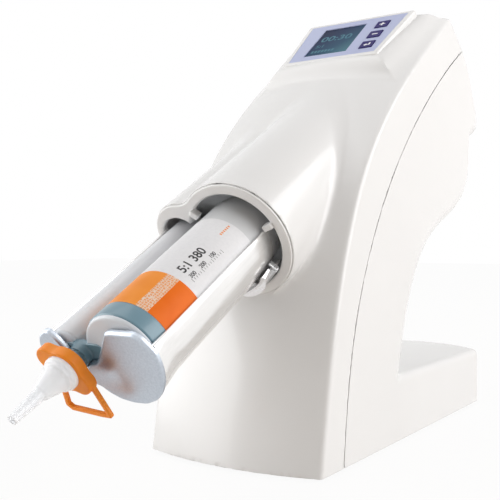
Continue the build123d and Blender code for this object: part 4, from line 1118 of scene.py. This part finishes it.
# %% [markdown]
# Letters are flat, and the barrel is round. So the figures are cut into thin strips across,
# and then each point is bent onto the barrel: its x runs along, its y goes round.

# %% Figures on the label
INK, ink = new_material("black_label_ink", (0.012, 0.012, 0.014), 0.38)
vary(INK, ink, ((0.010, 0.010, 0.012), (0.020, 0.019, 0.020)), 200, (0.34, 0.44))


def figures(words, size):
    """A flat mesh of some figures, as points and faces, with x along and y up."""
    text = bpy.data.curves.new(words, "FONT")
    text.body, text.size, text.extrude, text.offset = words, size, 0.05, size * 0.018
    mesh = melted(shown(words, text))
    work = bmesh.new()
    work.from_mesh(mesh)
    bmesh.ops.remove_doubles(work, verts=work.verts, dist=0.0005)
    for height in np.arange(0.0, size, 0.8):
        everything = work.verts[:] + work.edges[:] + work.faces[:]
        bmesh.ops.bisect_plane(work, geom=everything, plane_co=(0, height, 0), plane_no=(0, 1, 0))
    points = np.array([v.co for v in work.verts])
    work.verts.index_update()
    faces = [[v.index for v in f.verts] for f in work.faces]
    work.free()
    return points, faces


def printed(name, words, size, along, angle):
    """Figures bent onto the label; they start at a place along and an angle round."""
    points, faces = figures(words, size)
    places = on_label(along + points[:, 0], angle + np.degrees(points[:, 1] / LABEL_R), points[:, 2] + 0.03)
    made = closed(piece(name, np.stack(places, 1), faces, INK))
    return give(made, "tray", "barrel_label")


RATIO_SIZE, SCALE_SIZE, SCALE_ALONG, SCALE_STEP, SCALE_ROUND = 9.6, 4.4, -84.5, 12.5, 41.5
printed("ratio_figures", "5:1 380", RATIO_SIZE, -85.0, 53.0)
for index, amount in enumerate((300, 200, 100)):
    printed("scale_%d" % amount, str(amount), SCALE_SIZE, SCALE_ALONG + SCALE_STEP * index, SCALE_ROUND)

# %% [markdown]
# The scale's short strokes repeat, so Geometry Nodes make them: a line of points, a small
# flat stroke on each, and every fifth stroke longer. The strokes are then bent like the
# figures. The tree's sizes are its named inputs, and its last nodes make the copies real.

# %% Scale strokes by Geometry Nodes
def new_tree(name, **sizes):
    """An empty node tree with named number inputs, those inputs and its output node."""
    tree = bpy.data.node_groups.new(name, "GeometryNodeTree")
    for label_text, value in sizes.items():
        kind = "NodeSocketInt" if isinstance(value, int) else "NodeSocketFloat"
        socket = tree.interface.new_socket(label_text, in_out="INPUT", socket_type=kind)
        socket.default_value = value
    tree.interface.new_socket("Geometry", in_out="OUTPUT", socket_type="NodeSocketGeometry")
    return tree, tree.nodes.new("NodeGroupInput").outputs, tree.nodes.new("NodeGroupOutput")


def axes(tree, **values):
    """A vector from its X, Y and Z."""
    return node(tree, "ShaderNodeCombineXYZ", values).outputs[0]


def joined(tree, *shapes):
    """Several shapes as one."""
    made = node(tree, "GeometryNodeJoinGeometry")
    for shape in shapes:
        tree.links.new(shape, made.inputs[0])
    return made.outputs[0]


def spread(tree, result, material, **places):
    """The end of a tree: a shape on every point, made real and given its material."""
    put = node(tree, "GeometryNodeInstanceOnPoints", places)
    real = node(tree, "GeometryNodeRealizeInstances", {0: put.outputs[0]})
    paint = node(tree, "GeometryNodeSetMaterial", {0: real.outputs[0], "Material": material})
    tree.links.new(paint.outputs[0], result.inputs[0])


def grown(name, tree, **sizes):
    """Runs a node tree and keeps what it makes as points, in millimetres, and faces."""
    holder = shown(name, bpy.data.meshes.new(name))
    modifier = holder.modifiers.new(name, "NODES")
    modifier.node_group = tree
    for item in tree.interface.items_tree:
        if item.in_out == "INPUT" and item.name in sizes:
            modifier[item.identifier] = sizes[item.name]
    mesh = melted(holder)
    return points_of(mesh), [tuple(f.vertices) for f in mesh.polygons]


STROKES = {"Count": 16, "Pitch": 2.5, "Height": 1.8}
tree, given, result = new_tree("scale_strokes", **STROKES)
line = node(tree, "GeometryNodeMeshLine", {"Count": given["Count"], "Offset": axes(tree, X=given["Pitch"])})
stroke = node(tree, "GeometryNodeMeshCube", {"Size": (0.28, 1.0, 0.1)})
fifth = sums(tree, "MODULO", node(tree, "GeometryNodeInputIndex").outputs[0], 5.0)
tall = sums(tree, "MULTIPLY_ADD", sums(tree, "LESS_THAN", fifth, 0.5), 0.6, 1.0)
scale = axes(tree, X=1.0, Y=sums(tree, "MULTIPLY", tall, given["Height"]), Z=1.0)
spread(tree, result, INK, Points=line.outputs[0], Instance=stroke.outputs[0], Scale=scale)
points, faces = grown("scale_strokes", tree, **STROKES)
places = on_label(-85.0 + points[:, 0], 38.6 + np.degrees(points[:, 1] / LABEL_R), points[:, 2] + 0.03)
give(closed(piece("scale_strokes", np.stack(places, 1), faces, INK)), "tray", "barrel_label")

# %% [markdown]
# The display shows plain figures too: the seconds of a run, the mixing ratio and a bar that
# fills. They are flat, faint and teal, because the display's back light is off.

# %% Figures on the display
SEGMENT, segment_shader = new_material(
    "display_segment_teal", (0.10, 0.26, 0.33), 0.45, Specular_IOR_Level=0.1)
vary(SEGMENT, segment_shader, ((0.045, 0.15, 0.215), (0.08, 0.215, 0.28)), 90, (0.4, 0.5))
GLASS_OUT, FIGURE_LEFT = -0.78, -28.5
CELLS, CELL_PITCH, CELL_WIDE, CELL_TALL = 7, 3.6, 2.6, 5


def on_display(name, flat, faces, up):
    """Lays a flat mesh on the display's glass with its lower left corner at a height."""
    places = panel_point(FIGURE_LEFT + flat[:, 0], up + flat[:, 1], GLASS_OUT + 0.2 * flat[:, 2])
    return give(closed(piece(name, np.stack(places, 1), faces, SEGMENT)), "machine")


on_display("display_seconds", *figures("00:30", 15.0), 41.0)
on_display("display_ratio", *figures("5:1", 8.0), 28.0)
lefts = [CELL_PITCH * index for index in range(CELLS)]
cells = [[(x, 0), (x + CELL_WIDE, 0), (x + CELL_WIDE, CELL_TALL), (x, CELL_TALL)] for x in lefts]
on_display("display_bar", *filled("display_bar", cells, 0.2), 16.5)

# %% [markdown]
# ## The metal tray
# The tray and its lever are bright metal. Polished metal shows its surroundings, drawn out
# along a fine grain, so it needs little colour of its own and a little unevenness in its
# gloss. The tray's metallic share is below one, because such a grain also scatters some of
# the lamps' light as pale paint would.

# %% Bright metals
def polished(name, low, high, rough, shine=1.0):
    """Bright metal with a grain along the barrels."""
    made, shader = new_material(name, low, rough, shine)
    tree = made.node_tree
    where = node(tree, "ShaderNodeTexCoord").outputs["Object"]
    turn = node(tree, "ShaderNodeMapping", {"Vector": where, "Rotation": (-NOSE_ANGLE, 0, 0)})
    pull = node(tree, "ShaderNodeMapping", {"Vector": turn.outputs["Vector"], "Scale": (1, 0.03, 1)})
    streaks = {"Vector": pull.outputs["Vector"], "Scale": 700, "Detail": 2.0}
    grain = node(tree, "ShaderNodeTexNoise", streaks).outputs["Fac"]
    tree.links.new(ramp(made, grain, [(0.3, low), (0.7, high)]), shader.inputs["Base Color"])
    smear = ramp(made, noise(made, 30), [(0.3, grey(rough * 0.75)), (0.75, grey(rough * 1.4))])
    tree.links.new(smear, shader.inputs["Roughness"])
    bumped(tree, shader, grain, 0.000001)
    return made


CHROME = polished("polished_tray_steel", (0.85, 0.845, 0.84), (0.90, 0.895, 0.89), 0.2, 0.65)
LEVER_STEEL = polished("satin_lever_steel", (0.78, 0.765, 0.77), (0.84, 0.825, 0.83), 0.3, 0.75)
# The end plate's darker metal colour is a painted reflection of a dim room.
PLATE_STEEL = polished("satin_plate_steel", (0.47, 0.51, 0.565), (0.55, 0.59, 0.645), 0.40)
LUG_STEEL = metal("satin_lug_steel", (0.60, 0.60, 0.60), (0.70, 0.70, 0.70), 0.42)
PIN_STEEL = metal("turned_pin_steel", (0.50, 0.51, 0.53), (0.60, 0.61, 0.63), 0.22)
print("materials so far:", len(bpy.data.materials))

# %% [markdown]
# The trough follows both barrels, with a ridge between them. It is swept: one closed outline
# across, repeated at places along. Its rims are half round with a small bead outside, and
# near its front the wall widens into the end plate.

# %% Tray
TRAY_R, TRAY_IN, SLIM_R, SLIM_IN, RIM_V, BEAD = 31.7, 29.7, 16.32, 14.32, 9.0, 0.7
UNDER_FROM, RIDGE_FROM, RIDGE_TO, SLIM_SHARE = -149.0, -35.4, -163.3, 0.4
TRAY_BACK, TRAY_FRONT, WIDENS_AT, WIDENING = -0.3, -146.5, -122.0, 2.3


def arc_places(x, radius, start, stop, count):
    """Places on an arc round a line at x, between two angles in degrees."""
    turn = np.radians(np.linspace(start, stop, count))
    return np.stack([x + radius * np.cos(turn), radius * np.sin(turn)], 1)


def rim_angle(radius):
    return math.degrees(math.asin(RIM_V / radius))


def rounded_rim(inner_end, outer_end, count=7):
    """A half round from one edge of the wall to the other, over the rim."""
    middle, half = (inner_end + outer_end) / 2, (outer_end - inner_end) / 2
    up = np.array([-half[1], half[0]])
    up = up if up[1] > 0 else -up
    turn = np.linspace(0, math.pi, count + 2)[1:-1]
    return [middle - half * math.cos(t) + up * math.sin(t) for t in turn]


def tray_outline(flare):
    """The tray's closed outline, its outer wall pushed out by a flare."""
    bead = BEAD * np.exp(-np.linspace(0, 60, 60) ** 2 / 9.0)[:, None]
    large = arc_places(0, 1.0, rim_angle(TRAY_R), UNDER_FROM, 60)
    outer = large * (TRAY_R + flare + bead) + (BARREL_X, 0)
    lean = np.linspace(0, 1, 14)[1:-1][:, None]
    under = (1 - lean) * outer[-1] + lean * np.array([SMALL_X, -SLIM_R - SLIM_SHARE * flare])
    slim = arc_places(0, 1.0, -90, -180 - rim_angle(SLIM_R), 36)
    slim = slim * (SLIM_R + SLIM_SHARE * flare + bead[:36][::-1]) + (SMALL_X, 0)
    inner_slim = arc_places(SMALL_X, SLIM_IN, -180 - rim_angle(SLIM_IN), RIDGE_FROM, 46)
    ridge = softened([inner_slim[-1], (-27.4, -7.6), (-19.3, -7.6), (-18.6, -8.5)], 1.0)[3:-4]
    inner = arc_places(BARREL_X, TRAY_IN, RIDGE_TO, rim_angle(TRAY_IN), 60)
    left = rounded_rim(slim[-1], inner_slim[0])
    right = rounded_rim(inner[-1], outer[0])
    return np.array([*outer, *under, *slim, *left, *inner_slim, *ridge, *inner, *right])


back, middle = [TRAY_BACK, TRAY_BACK - 0.35], np.linspace(-8, -124, 15)
front = np.linspace(-127, TRAY_FRONT, 12)
loops, faces = [], []
for s in np.concatenate([back, middle, front]):
    t = np.clip((WIDENS_AT - s) / (WIDENS_AT - TRAY_FRONT), 0, 1)
    flat = tray_outline(-0.3 if s == TRAY_BACK else WIDENING * t * t * (3 - 2 * t))
    loops.append(np.stack(nose_point(flat[:, 0], flat[:, 1], np.full(len(flat), s)), 1))
n = len(loops[0])
for i in range(len(loops) - 1):
    for j in range(n):
        faces.append((i * n + j, i * n + (j + 1) % n, (i + 1) * n + (j + 1) % n, (i + 1) * n + j))


def end_cap(first):
    """Closes an end of the trough by triangles across its narrow wall."""
    work = bmesh.new()
    ring = [work.verts.new(p) for p in loops[first]]
    edges = [work.edges.new((ring[k], ring[(k + 1) % n])) for k in range(n)]
    bmesh.ops.triangle_fill(work, edges=edges, use_beauty=True)
    work.verts.index_update()
    base = (first % len(loops)) * n
    out = [tuple(base + v.index for v in f.verts) for f in work.faces]
    work.free()
    return out


faces += end_cap(0) + end_cap(-1)
trough = closed(piece("tray_trough", np.concatenate(loops), faces, CHROME), 30)
give(trough, "tray", "barrel_tray")

# %% [markdown]
# The knuckle under the tray's rear end turns on the hinge pin, and two small lugs hold the
# release lever. The lever is a thumb tab that follows the tray's wall and swells
# outwards at its front end, where it is hollow so that a thumb finds it.

# %% Knuckle, lever lugs and release lever
LEVER_ANGLE, LEVER_R, LEVER_S = math.radians(-48), TRAY_R + 4.6, -8.0
OUT_X, OUT_V = math.cos(LEVER_ANGLE), math.sin(LEVER_ANGLE)
KNUCKLE_R, LUG_R, BOSS_R, HINGE_BORE, PIN_BORE = 3.45, 2.3, 2.6, 2.06, 1.56
TAB_IN, TAB_OUT, TAB_HALF, TAB_WIDER, TAB_FRONT, TAB_BACK = 34.2, 36.2, 10.8, 4.6, -23.0, 4.0


def knuckle_rule(x, v, s):
    """The ear round the hinge pin and its foot under the trough."""
    foot = np.maximum(slab(s, HINGE_S, KNUCKLE_R), np.maximum(v + 30.6, HINGE_V - v))
    ear = np.minimum(round_at(s, v, HINGE_S, HINGE_V, KNUCKLE_R), foot)
    block = both(ear, slab(x, BARREL_X, 7.95), 0.6)
    return np.maximum(block, -round_at(s, v, HINGE_S, HINGE_V, HINGE_BORE))


def lever_view(x, v):
    """How far a place lies out from the lever's pin, and how far to its side."""
    return (x - BARREL_X) * OUT_X + v * OUT_V - LEVER_R, v * OUT_X - (x - BARREL_X) * OUT_V


def lug_pair_rule(x, v, s):
    """The two lugs that stand out from the trough and hold the lever's pin."""
    out, side = lever_view(x, v)
    post = np.maximum(slab(s, LEVER_S, LUG_R), np.maximum(out, -out - 5.6))
    ear = np.minimum(round_at(out, s, 0, LEVER_S, LUG_R), post)
    lugs = both(ear, slab(abs(side), 12.4, 1.0), 0.45)
    return np.maximum(lugs, -round_at(out, s, 0, LEVER_S, PIN_BORE))


def boss_rule(x, v, s):
    """The lever's own boss between the lugs."""
    out, side = lever_view(x, v)
    boss = both(round_at(out, s, 0, LEVER_S, BOSS_R), abs(side) - 11.05, 0.4)
    return np.maximum(boss, -round_at(out, s, 0, LEVER_S, PIN_BORE))


def tab_rule(x, v, s):
    """The thumb tab: narrow between its lugs, wider and bulging at its hollow front end."""
    front = np.clip((-s - 9.0) / 13.0, 0, 1)
    radius, turn = np.hypot(x - BARREL_X, v), np.arctan2(v, x - BARREL_X)
    u = (turn - LEVER_ANGLE + 0.12 * front) * LEVER_R
    half = TAB_HALF + TAB_WIDER * np.clip((-s - 11.4) / 2.5, 0, 1)
    bulge = np.clip(1 - (u / 16.0) ** 2, 0, 1)
    outside = radius - TAB_OUT - bulge * (0.9 + 4.4 * front * front)
    body = both(both(outside, TAB_IN - radius, 0.7), abs(u) - half, 2.2)
    hollow = 3.4 * np.clip(1 - ((radius - 37.5) / 5.5) ** 2 - (u / 17.0) ** 2, 0, 1)
    return both(body, np.maximum(TAB_FRONT - s + hollow, s - TAB_BACK), 0.6)


give(by_rule("tray_knuckle", knuckle_rule, (0, -41, -8), (20, -28, 2), 0.5, LUG_STEEL), "tray", "barrel_tray")
lugs = by_rule("lever_lugs", lug_pair_rule, (14, -42, -12), (50, -10, -4), 0.5, LUG_STEEL)
give(lugs, "tray", "barrel_tray")
lever = by_rule("lever_tab", tab_rule, (8, -46, -26), (52, -8, 6), 0.55, LEVER_STEEL)
boss = by_rule("lever_boss", boss_rule, (14, -42, -12), (50, -10, -4), 0.5, LUG_STEEL)
give(lever, "release_lever", "release_lever")
give(boss, "release_lever", "release_lever")

# %% [markdown]
# The front plate closes the trough. It has a wide bevel that shines, and a notch that leaves
# room for the paste neck. Its satin face is painted a darker metal than the trough: a painted
# reflection of the dim room that a real plate mirrors.

# %% Front plate
PLATE_MIDDLE, PLATE_HALF, BEVEL_FROM = -148.5, 2.0, 149.0
PLATE_OUTLINE = [
    (8.5, 20.5), (12.5, 21.4), (31.5, 21.4), (36.5, 18.5), (43.8, 8.5), (44.3, 0.0), (43.0, -8.0),
    (40.5, -16.0), (36.0, -23.5), (29.5, -29.8), (20.0, -33.9), (9.5, -34.4), (-1.0, -32.6),
    (-9.0, -28.6), (-15.0, -23.6), (-31.0, -20.5), (-40.0, -19.0), (-48.0, -16.6), (-53.5, -12.0),
    (-56.6, -5.0), (-57.2, 2.0), (-56.4, 8.0), (-53.6, 13.6), (-47.0, 18.2), (-42.5, 18.6),
    (-38.2, 14.0), (-31.2, 3.5), (-29.6, -4.2), (-26.4, -7.6), (-22.6, -8.7), (-18.8, -7.6),
    (-16.0, -4.6), (-9.0, -3.2), (-1.5, 6.5),
]
FRONT_PLATE = FlatRule(softened(PLATE_OUTLINE, 2.6, 4), 12.0, 0.4)


def front_plate_rule(x, v, s):
    """The plate's thickness, less the bevel round its face."""
    flat = FRONT_PLATE(x, v)
    bevel = (flat - s - BEVEL_FROM) / math.sqrt(2)
    return both(np.maximum(flat, slab(s, PLATE_MIDDLE, PLATE_HALF)), bevel, 0.5)


low, high = (-60, -37, -152), (47, 24, -145)
end_plate = by_rule("tray_end_plate", front_plate_rule, low, high, FINE, PLATE_STEEL, 24)
give(end_plate, "tray", "tray_front_plate")
finish(PIN_STEEL, "tray_hinge_pin", "release_lever_pin")

# %% [markdown]
# ## Locking ring, mixing tip and rotor
# The orange ring turns on the tip's base and has two round lobes for the fingers. A flat
# loop is moulded on one side of it. The outline is drawn once in the nose's view, and the
# rule rounds its edges as a mould would.

# %% Ring with its loop
RING_TURN, RING_R, LOBE_OUT, LOBE_R = math.radians(-42.0), 15.0, 14.2, 7.5
RING_S, RING_HALF, RING_WALL, RING_FLOOR, HUB_R, SEAT_R = -162.8, 4.1, 2.6, -165.4, 13.9, 12.68
LOOP_S, LOOP_HALF, BAR_HALF, LOOP_FROM = -163.0, 1.6, 1.55, 14.0
LOOP_POINTS = [(-32.0, -8.0), (-36.0, -29.5), (-33.0, -32.6), (-8.0, -34.6), (-0.8, -34.6), (-5.6, -12.0)]
ORANGE, ring_shader = new_material(
    "orange_ring_plastic", (0.82, 0.235, 0.022), 0.36,
    Specular_IOR_Level=0.3, Subsurface_Weight=0.12, Subsurface_Scale=0.004)
vary(ORANGE, ring_shader, ((0.93, 0.255, 0.012), (0.98, 0.315, 0.024)), 60, (0.3, 0.42))
relief(ORANGE, ring_shader, 900, 0.000006)


def bar_rule(x, v, first, second, half):
    """The distance from a straight flat bar between two points."""
    (ax, av), (bx, bv) = first, second
    length = math.hypot(bx - ax, bv - av)
    t = np.clip(((x - ax) * (bx - ax) + (v - av) * (bv - av)) / length**2, 0, 1)
    return np.hypot(x - ax - t * (bx - ax), v - av - t * (bv - av)) - half


def ring_rule(x, v, s):
    """The ring with its lobes, hollow from behind, with its loop and its round seat."""
    c, d = math.cos(RING_TURN), math.sin(RING_TURN)
    along, across = (x - SHAFT_X) * c + v * d, v * c - (x - SHAFT_X) * d
    flat = either(round_at(x, v, SHAFT_X, 0, RING_R), round_at(abs(along), across, LOBE_OUT, 0, LOBE_R), 3.0)
    rim = both(flat, slab(s, RING_S, RING_HALF), 1.2)
    hollow = both(flat + RING_WALL, RING_FLOOR - s, 1.0)
    rim = both(rim, -np.maximum(hollow, -round_at(x, v, SHAFT_X, 0, HUB_R)), 0.5)
    runs = zip(LOOP_POINTS, LOOP_POINTS[1:])
    bars = np.minimum.reduce([bar_rule(x, v, first, second, BAR_HALF) for first, second in runs])
    bars = np.maximum(bars, -round_at(x, v, SHAFT_X, 0, LOOP_FROM))
    loop = both(bars, slab(s, LOOP_S, LOOP_HALF), 0.7)
    return np.maximum(either(rim, loop, 0.8), -round_at(x, v, SHAFT_X, 0, SEAT_R))


ring = by_rule("finger_ring", ring_rule, (-48, -39, -169), (6, 24, -157), FINE, ORANGE)
give(ring, "locking_ring", "locking_ring")

# %% [markdown]
# The tip is milky clear plastic, turned with a wall of about 1 mm: a drum with two steps, a
# cone, and a thin tube. Part of the light goes through its wall and bends there, and the rest
# is scattered white. A very faint painted glow of its own stands for the light that such
# plastic passes on inside itself.

# %% Clear tip
# The faint emission below is a painted glow, standing in for light passed on inside the plastic.
CLEAR, clear_shader = new_material(
    "clear_tip_plastic", (0.95, 0.965, 0.985), 0.2, IOR=1.34, Transmission_Weight=0.4,
    Emission_Strength=0.07, Emission_Color=(0.95, 0.97, 1.0, 1))
vary(CLEAR, clear_shader, ((0.94, 0.955, 0.975), (0.98, 0.985, 0.995)), 40, (0.15, 0.25))
TIP_OUTSIDE = [
    (12.6, -158.4, 0.5), (12.6, -166.0), (12.6, -169.4, 0.8), (11.4, -170.6, 0.6),
    (11.2, -172.6, 0.6), (9.6, -173.8, 0.8), (5.6, -187.6, 2.0), (4.6, -188.8, 1.0),
    (3.9, -202.0, 1.0), (3.4, -212.6, 0.4),
]
TIP_INSIDE = [
    (2.5, -212.9, 0.3), (2.7, -202.0, 1.0), (3.4, -188.6, 1.0), (4.3, -187.0, 2.0),
    (8.4, -173.4, 0.6), (10.0, -172.2, 0.6), (10.2, -169.8, 0.5), (11.4, -168.8, 0.6),
    (11.4, -158.4, 0.2),
]
tip = turned("clear_tip", TIP_OUTSIDE + TIP_INSIDE, SHAFT_X, 0, CLEAR, 0.5, 96, 40)
give(tip, "tray", "mixing_tip")

# %% [markdown]
# The white rotor inside has a hub, a core and five crosses. The crosses repeat, each turned by
# 36 degrees and smaller than the last, so Geometry Nodes place them. The core is turned.

# %% Rotor with crosses by Geometry Nodes
CROSSES = {"Count": 5, "Pitch": 4.6, "Turn": 0.6283, "Radius": 9.6, "Shrink": 1.4}
BLADES = ((2.0, 0.13, 3.0), (0.13, 2.0, 3.0))
CROSS_FROM = 165.4
CORE = [(0, -158.4), (4.9, -158.4), (4.9, -163.4), (1.9, -165.0, 0.8), (1.7, -205.5, 0.8), (0, -206.5)]
ROTOR = moulded("rotor_white_plastic", (0.80, 0.815, 0.83), (0.88, 0.89, 0.90), 0.35, 0.00001, 800)
tree, given, result = new_tree("rotor_crosses", **CROSSES)
line = node(tree, "GeometryNodeMeshLine", {"Count": given["Count"], "Offset": axes(tree, Z=given["Pitch"])})
cross = joined(tree, *(node(tree, "GeometryNodeMeshCube", {"Size": size}).outputs[0] for size in BLADES))
number = node(tree, "GeometryNodeInputIndex").outputs[0]
twist = axes(tree, Z=sums(tree, "MULTIPLY", number, given["Turn"]))
reach = sums(tree, "SUBTRACT", given["Radius"], sums(tree, "MULTIPLY", number, given["Shrink"]))
size = axes(tree, X=reach, Y=reach, Z=1.0)
spread(tree, result, ROTOR, Points=line.outputs[0], Instance=cross, Rotation=twist, Scale=size)
points, faces = grown("rotor_crosses", tree, **CROSSES)
places = nose_point(points[:, 0] + SHAFT_X, points[:, 1], -points[:, 2] - CROSS_FROM)
crosses = closed(piece("rotor_crosses", np.stack(places, 1), faces, ROTOR))
give(baked(crosses, ("BEVEL", {"width": 0.25 * MM, "segments": 2})), "mixer_shaft", "mixing_rotor")
give(turned("rotor_core", CORE, SHAFT_X, 0, ROTOR, 0.5, 48), "mixer_shaft", "mixing_rotor")

# %% [markdown]
# ## Everything else
# The pieces inside and under the machine keep their exact solids, and only get a finish:
# bright steel with a fine grain, brushed aluminium, painted sheet, brass, green board, black
# and grey plastic and soft rubber. Each finish reads the piece's own coordinates.

# %% Finishes of the inner pieces
STEEL = polished("ground_shaft_steel", (0.50, 0.51, 0.53), (0.62, 0.63, 0.65), 0.2)
ALUMINIUM = metal("brushed_aluminium", (0.60, 0.61, 0.62), (0.70, 0.71, 0.72), 0.36, (1, 6, 6), 0.00001, 250)
FRAME_PAINT = moulded("frame_grey_paint", (0.22, 0.235, 0.26), (0.27, 0.285, 0.31), 0.42, 0.00004, 450)
BASE_PAINT = moulded("base_grey_plastic", (0.095, 0.10, 0.11), (0.13, 0.135, 0.145), 0.55, 0.00005, 500)
RUBBER = moulded("foot_rubber", (0.018, 0.018, 0.02), (0.032, 0.032, 0.034), 0.78, 0.00005, 900)
BRASS = metal("turned_brass", (0.52, 0.36, 0.12), (0.66, 0.47, 0.18), 0.3)
BLACK = moulded("black_housing_plastic", (0.014, 0.014, 0.016), (0.026, 0.026, 0.028), 0.42, 0.00003, 700)
PLUNGER_WHITE = moulded("plunger_disc_plastic", (0.62, 0.62, 0.60), (0.70, 0.70, 0.68), 0.5, 0.00002, 500)


def board_material():
    """Green board with a fine grid of copper tracks under its varnish."""
    made, shader = new_material("green_board", (0.01, 0.10, 0.035), 0.35, Coat_Weight=0.3)
    tree = made.node_tree
    tracks = node(tree, "ShaderNodeTexBrick", {
        "Vector": node(tree, "ShaderNodeTexCoord").outputs["Object"],
        "Scale": 160.0,
        "Mortar Size": 0.05,
        "Bias": 0.0,
        "Color1": (0.008, 0.085, 0.03, 1),
        "Color2": (0.012, 0.12, 0.045, 1),
        "Mortar": (0.05, 0.26, 0.09, 1),
    })
    tree.links.new(tracks.outputs["Color"], shader.inputs["Base Color"])
    relief(made, shader, 700, 0.00002)
    return made


FINISHES = {
    STEEL: [
        "guide_rods", "large_plunger_rod", "small_plunger_rod", "lead_screw", "mixer_shaft", "mixer_spindle",
        "motor_shaft",
    ],
    ALUMINIUM: [
        "front_frame_plate", "rear_frame_plate", "crosshead", "drive_gearbox", "nose_bulkhead", "screw_gear",
        "motor_pinion",
    ],
    FRAME_PAINT: ["left_bracket", "right_bracket"],
    BASE_PAINT: ["base_plate"],
    RUBBER: ["rubber_feet"],
    BRASS: ["screw_nut", "spindle_bush", "screw_bearings"],
    BLACK: ["drive_motor", "mixer_motor", "power_supply", "mains_inlet", "power_switch", "power_rocker"],
    PLUNGER_WHITE: ["large_plunger", "small_plunger"],
    board_material(): ["control_board"],
    WHITE: ["rear_panel"],
}
for material, names in FINISHES.items():
    finish(material, *names)
print("nodes finished:", sum(len(names) for names in FINISHES.values()))

# %% [markdown]
# The small repeated things are last. Ten socket screws hold the base, and they are alike, so
# Geometry Nodes cut one head, put it on every place and turn each by a different amount.

# %% Base screws by Geometry Nodes
SCREW_X, BRACKET_X, SCREW_Z = 73.0, 58.0, 2.3
SCREW_DEPTHS, BRACKET_DEPTHS = (18.0, 52.0, 325.0), (69.5, 112.5)
HEADS = {"Radius": 3.0, "Socket": 1.45, "Thickness": 1.85, "Seed": 7}
SHANK_R, SHANK_LONG, SHANK_RISE, SOCKET_DEEP, SOCKET_RISE, FULL_TURN = 1.5, 10.0, 5.6, 2.4, -0.9, 6.283


def cylinder(tree, corners, radius, depth, rise):
    """A cylinder or a prism with its middle at a height."""
    made = node(tree, "GeometryNodeMeshCylinder", {"Vertices": corners, "Radius": radius, "Depth": depth})
    lifted = {"Geometry": made.outputs["Mesh"], "Translation": (0, 0, rise)}
    return node(tree, "GeometryNodeTransform", lifted).outputs[0]


places = [(side * SCREW_X, FRONT_Y + depth, SCREW_Z) for side in (-1, 1) for depth in SCREW_DEPTHS]
places += [(side * BRACKET_X, FRONT_Y + depth, SCREW_Z) for side in (-1, 1) for depth in BRACKET_DEPTHS]
spots = bpy.data.meshes.new("screw_spots")
spots.from_pydata(places, [], [])
spot_holder = shown("screw_spots", spots)
tree, given, result = new_tree("base_screws", **HEADS)
info = node(tree, "GeometryNodeObjectInfo", {"Object": spot_holder})
head = cylinder(tree, 40, given["Radius"], given["Thickness"], 0.0)
shank = cylinder(tree, 24, SHANK_R, SHANK_LONG, SHANK_RISE)
socket = cylinder(tree, 6, given["Socket"], SOCKET_DEEP, SOCKET_RISE)
cut = node(tree, "GeometryNodeMeshBoolean", {"Mesh 1": head, "Mesh 2": socket}, operation="DIFFERENCE")
whole = joined(tree, cut.outputs[0], shank)
chance = node(tree, "FunctionNodeRandomValue", {"Seed": given["Seed"]}).outputs[1]
angle = axes(tree, Z=sums(tree, "MULTIPLY", chance, FULL_TURN))
spread(tree, result, PIN_STEEL, Points=info.outputs["Geometry"], Instance=whole, Rotation=angle)
points, faces = grown("base_screws", tree, **HEADS)
bpy.data.objects.remove(spot_holder)
points[:, 2] += HEADS["Thickness"] / 2
give(closed(piece("base_socket_screws", points, faces, PIN_STEEL)), "machine", "base_screws")
print("screws:", len(places), "points", len(points))

# %% [markdown]
# The power switch gets its two plain signs, a stroke and a ring, one on each half of its
# rocker. The lower half leans, and the ring lies on it.

# %% The switch's two signs
ROCKER_X, ROCKER_Y, ROCKER_Z = 18.0, FRONT_Y + 366.0, 29.0
SIGN_R, SIGN_HOLE, STROKE_HALF, STROKE_LONG, SIGN_HIGH = 1.75, 0.66, 0.35, 1.8, 0.12
stroke_sign = [(a * STROKE_HALF, b * STROKE_LONG) for a, b in ((-1, -1), (1, -1), (1, 1), (-1, 1))]
turns = np.linspace(0, 2 * math.pi, 40, endpoint=False)
round_sign = [(SIGN_R * math.cos(t), SIGN_R * math.sin(t)) for t in turns]
inner_sign = [(SIGN_HOLE * a, SIGN_HOLE * b) for a, b in round_sign]
SWITCH_SIGNS = {
    "switch_stroke": ([stroke_sign], 4.45, 4.70, 0.0),
    "switch_ring": ([round_sign, inner_sign], -2.98, 5.74, math.radians(-15.9)),
}
for name, (outlines, along, rise, lean) in SWITCH_SIGNS.items():
    sign, faces = filled(name, outlines, SIGN_HIGH)
    up = along + sign[:, 1] * math.cos(lean) + sign[:, 2] * math.sin(-lean)
    back = rise + sign[:, 1] * math.sin(lean) + sign[:, 2] * math.cos(lean)
    places = np.stack([ROCKER_X - sign[:, 0], ROCKER_Y + back, ROCKER_Z + up], 1)
    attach(closed(piece(name, places, faces, INK_WHITE)), "power_rocker")
print("switch signs:", len(SWITCH_SIGNS))
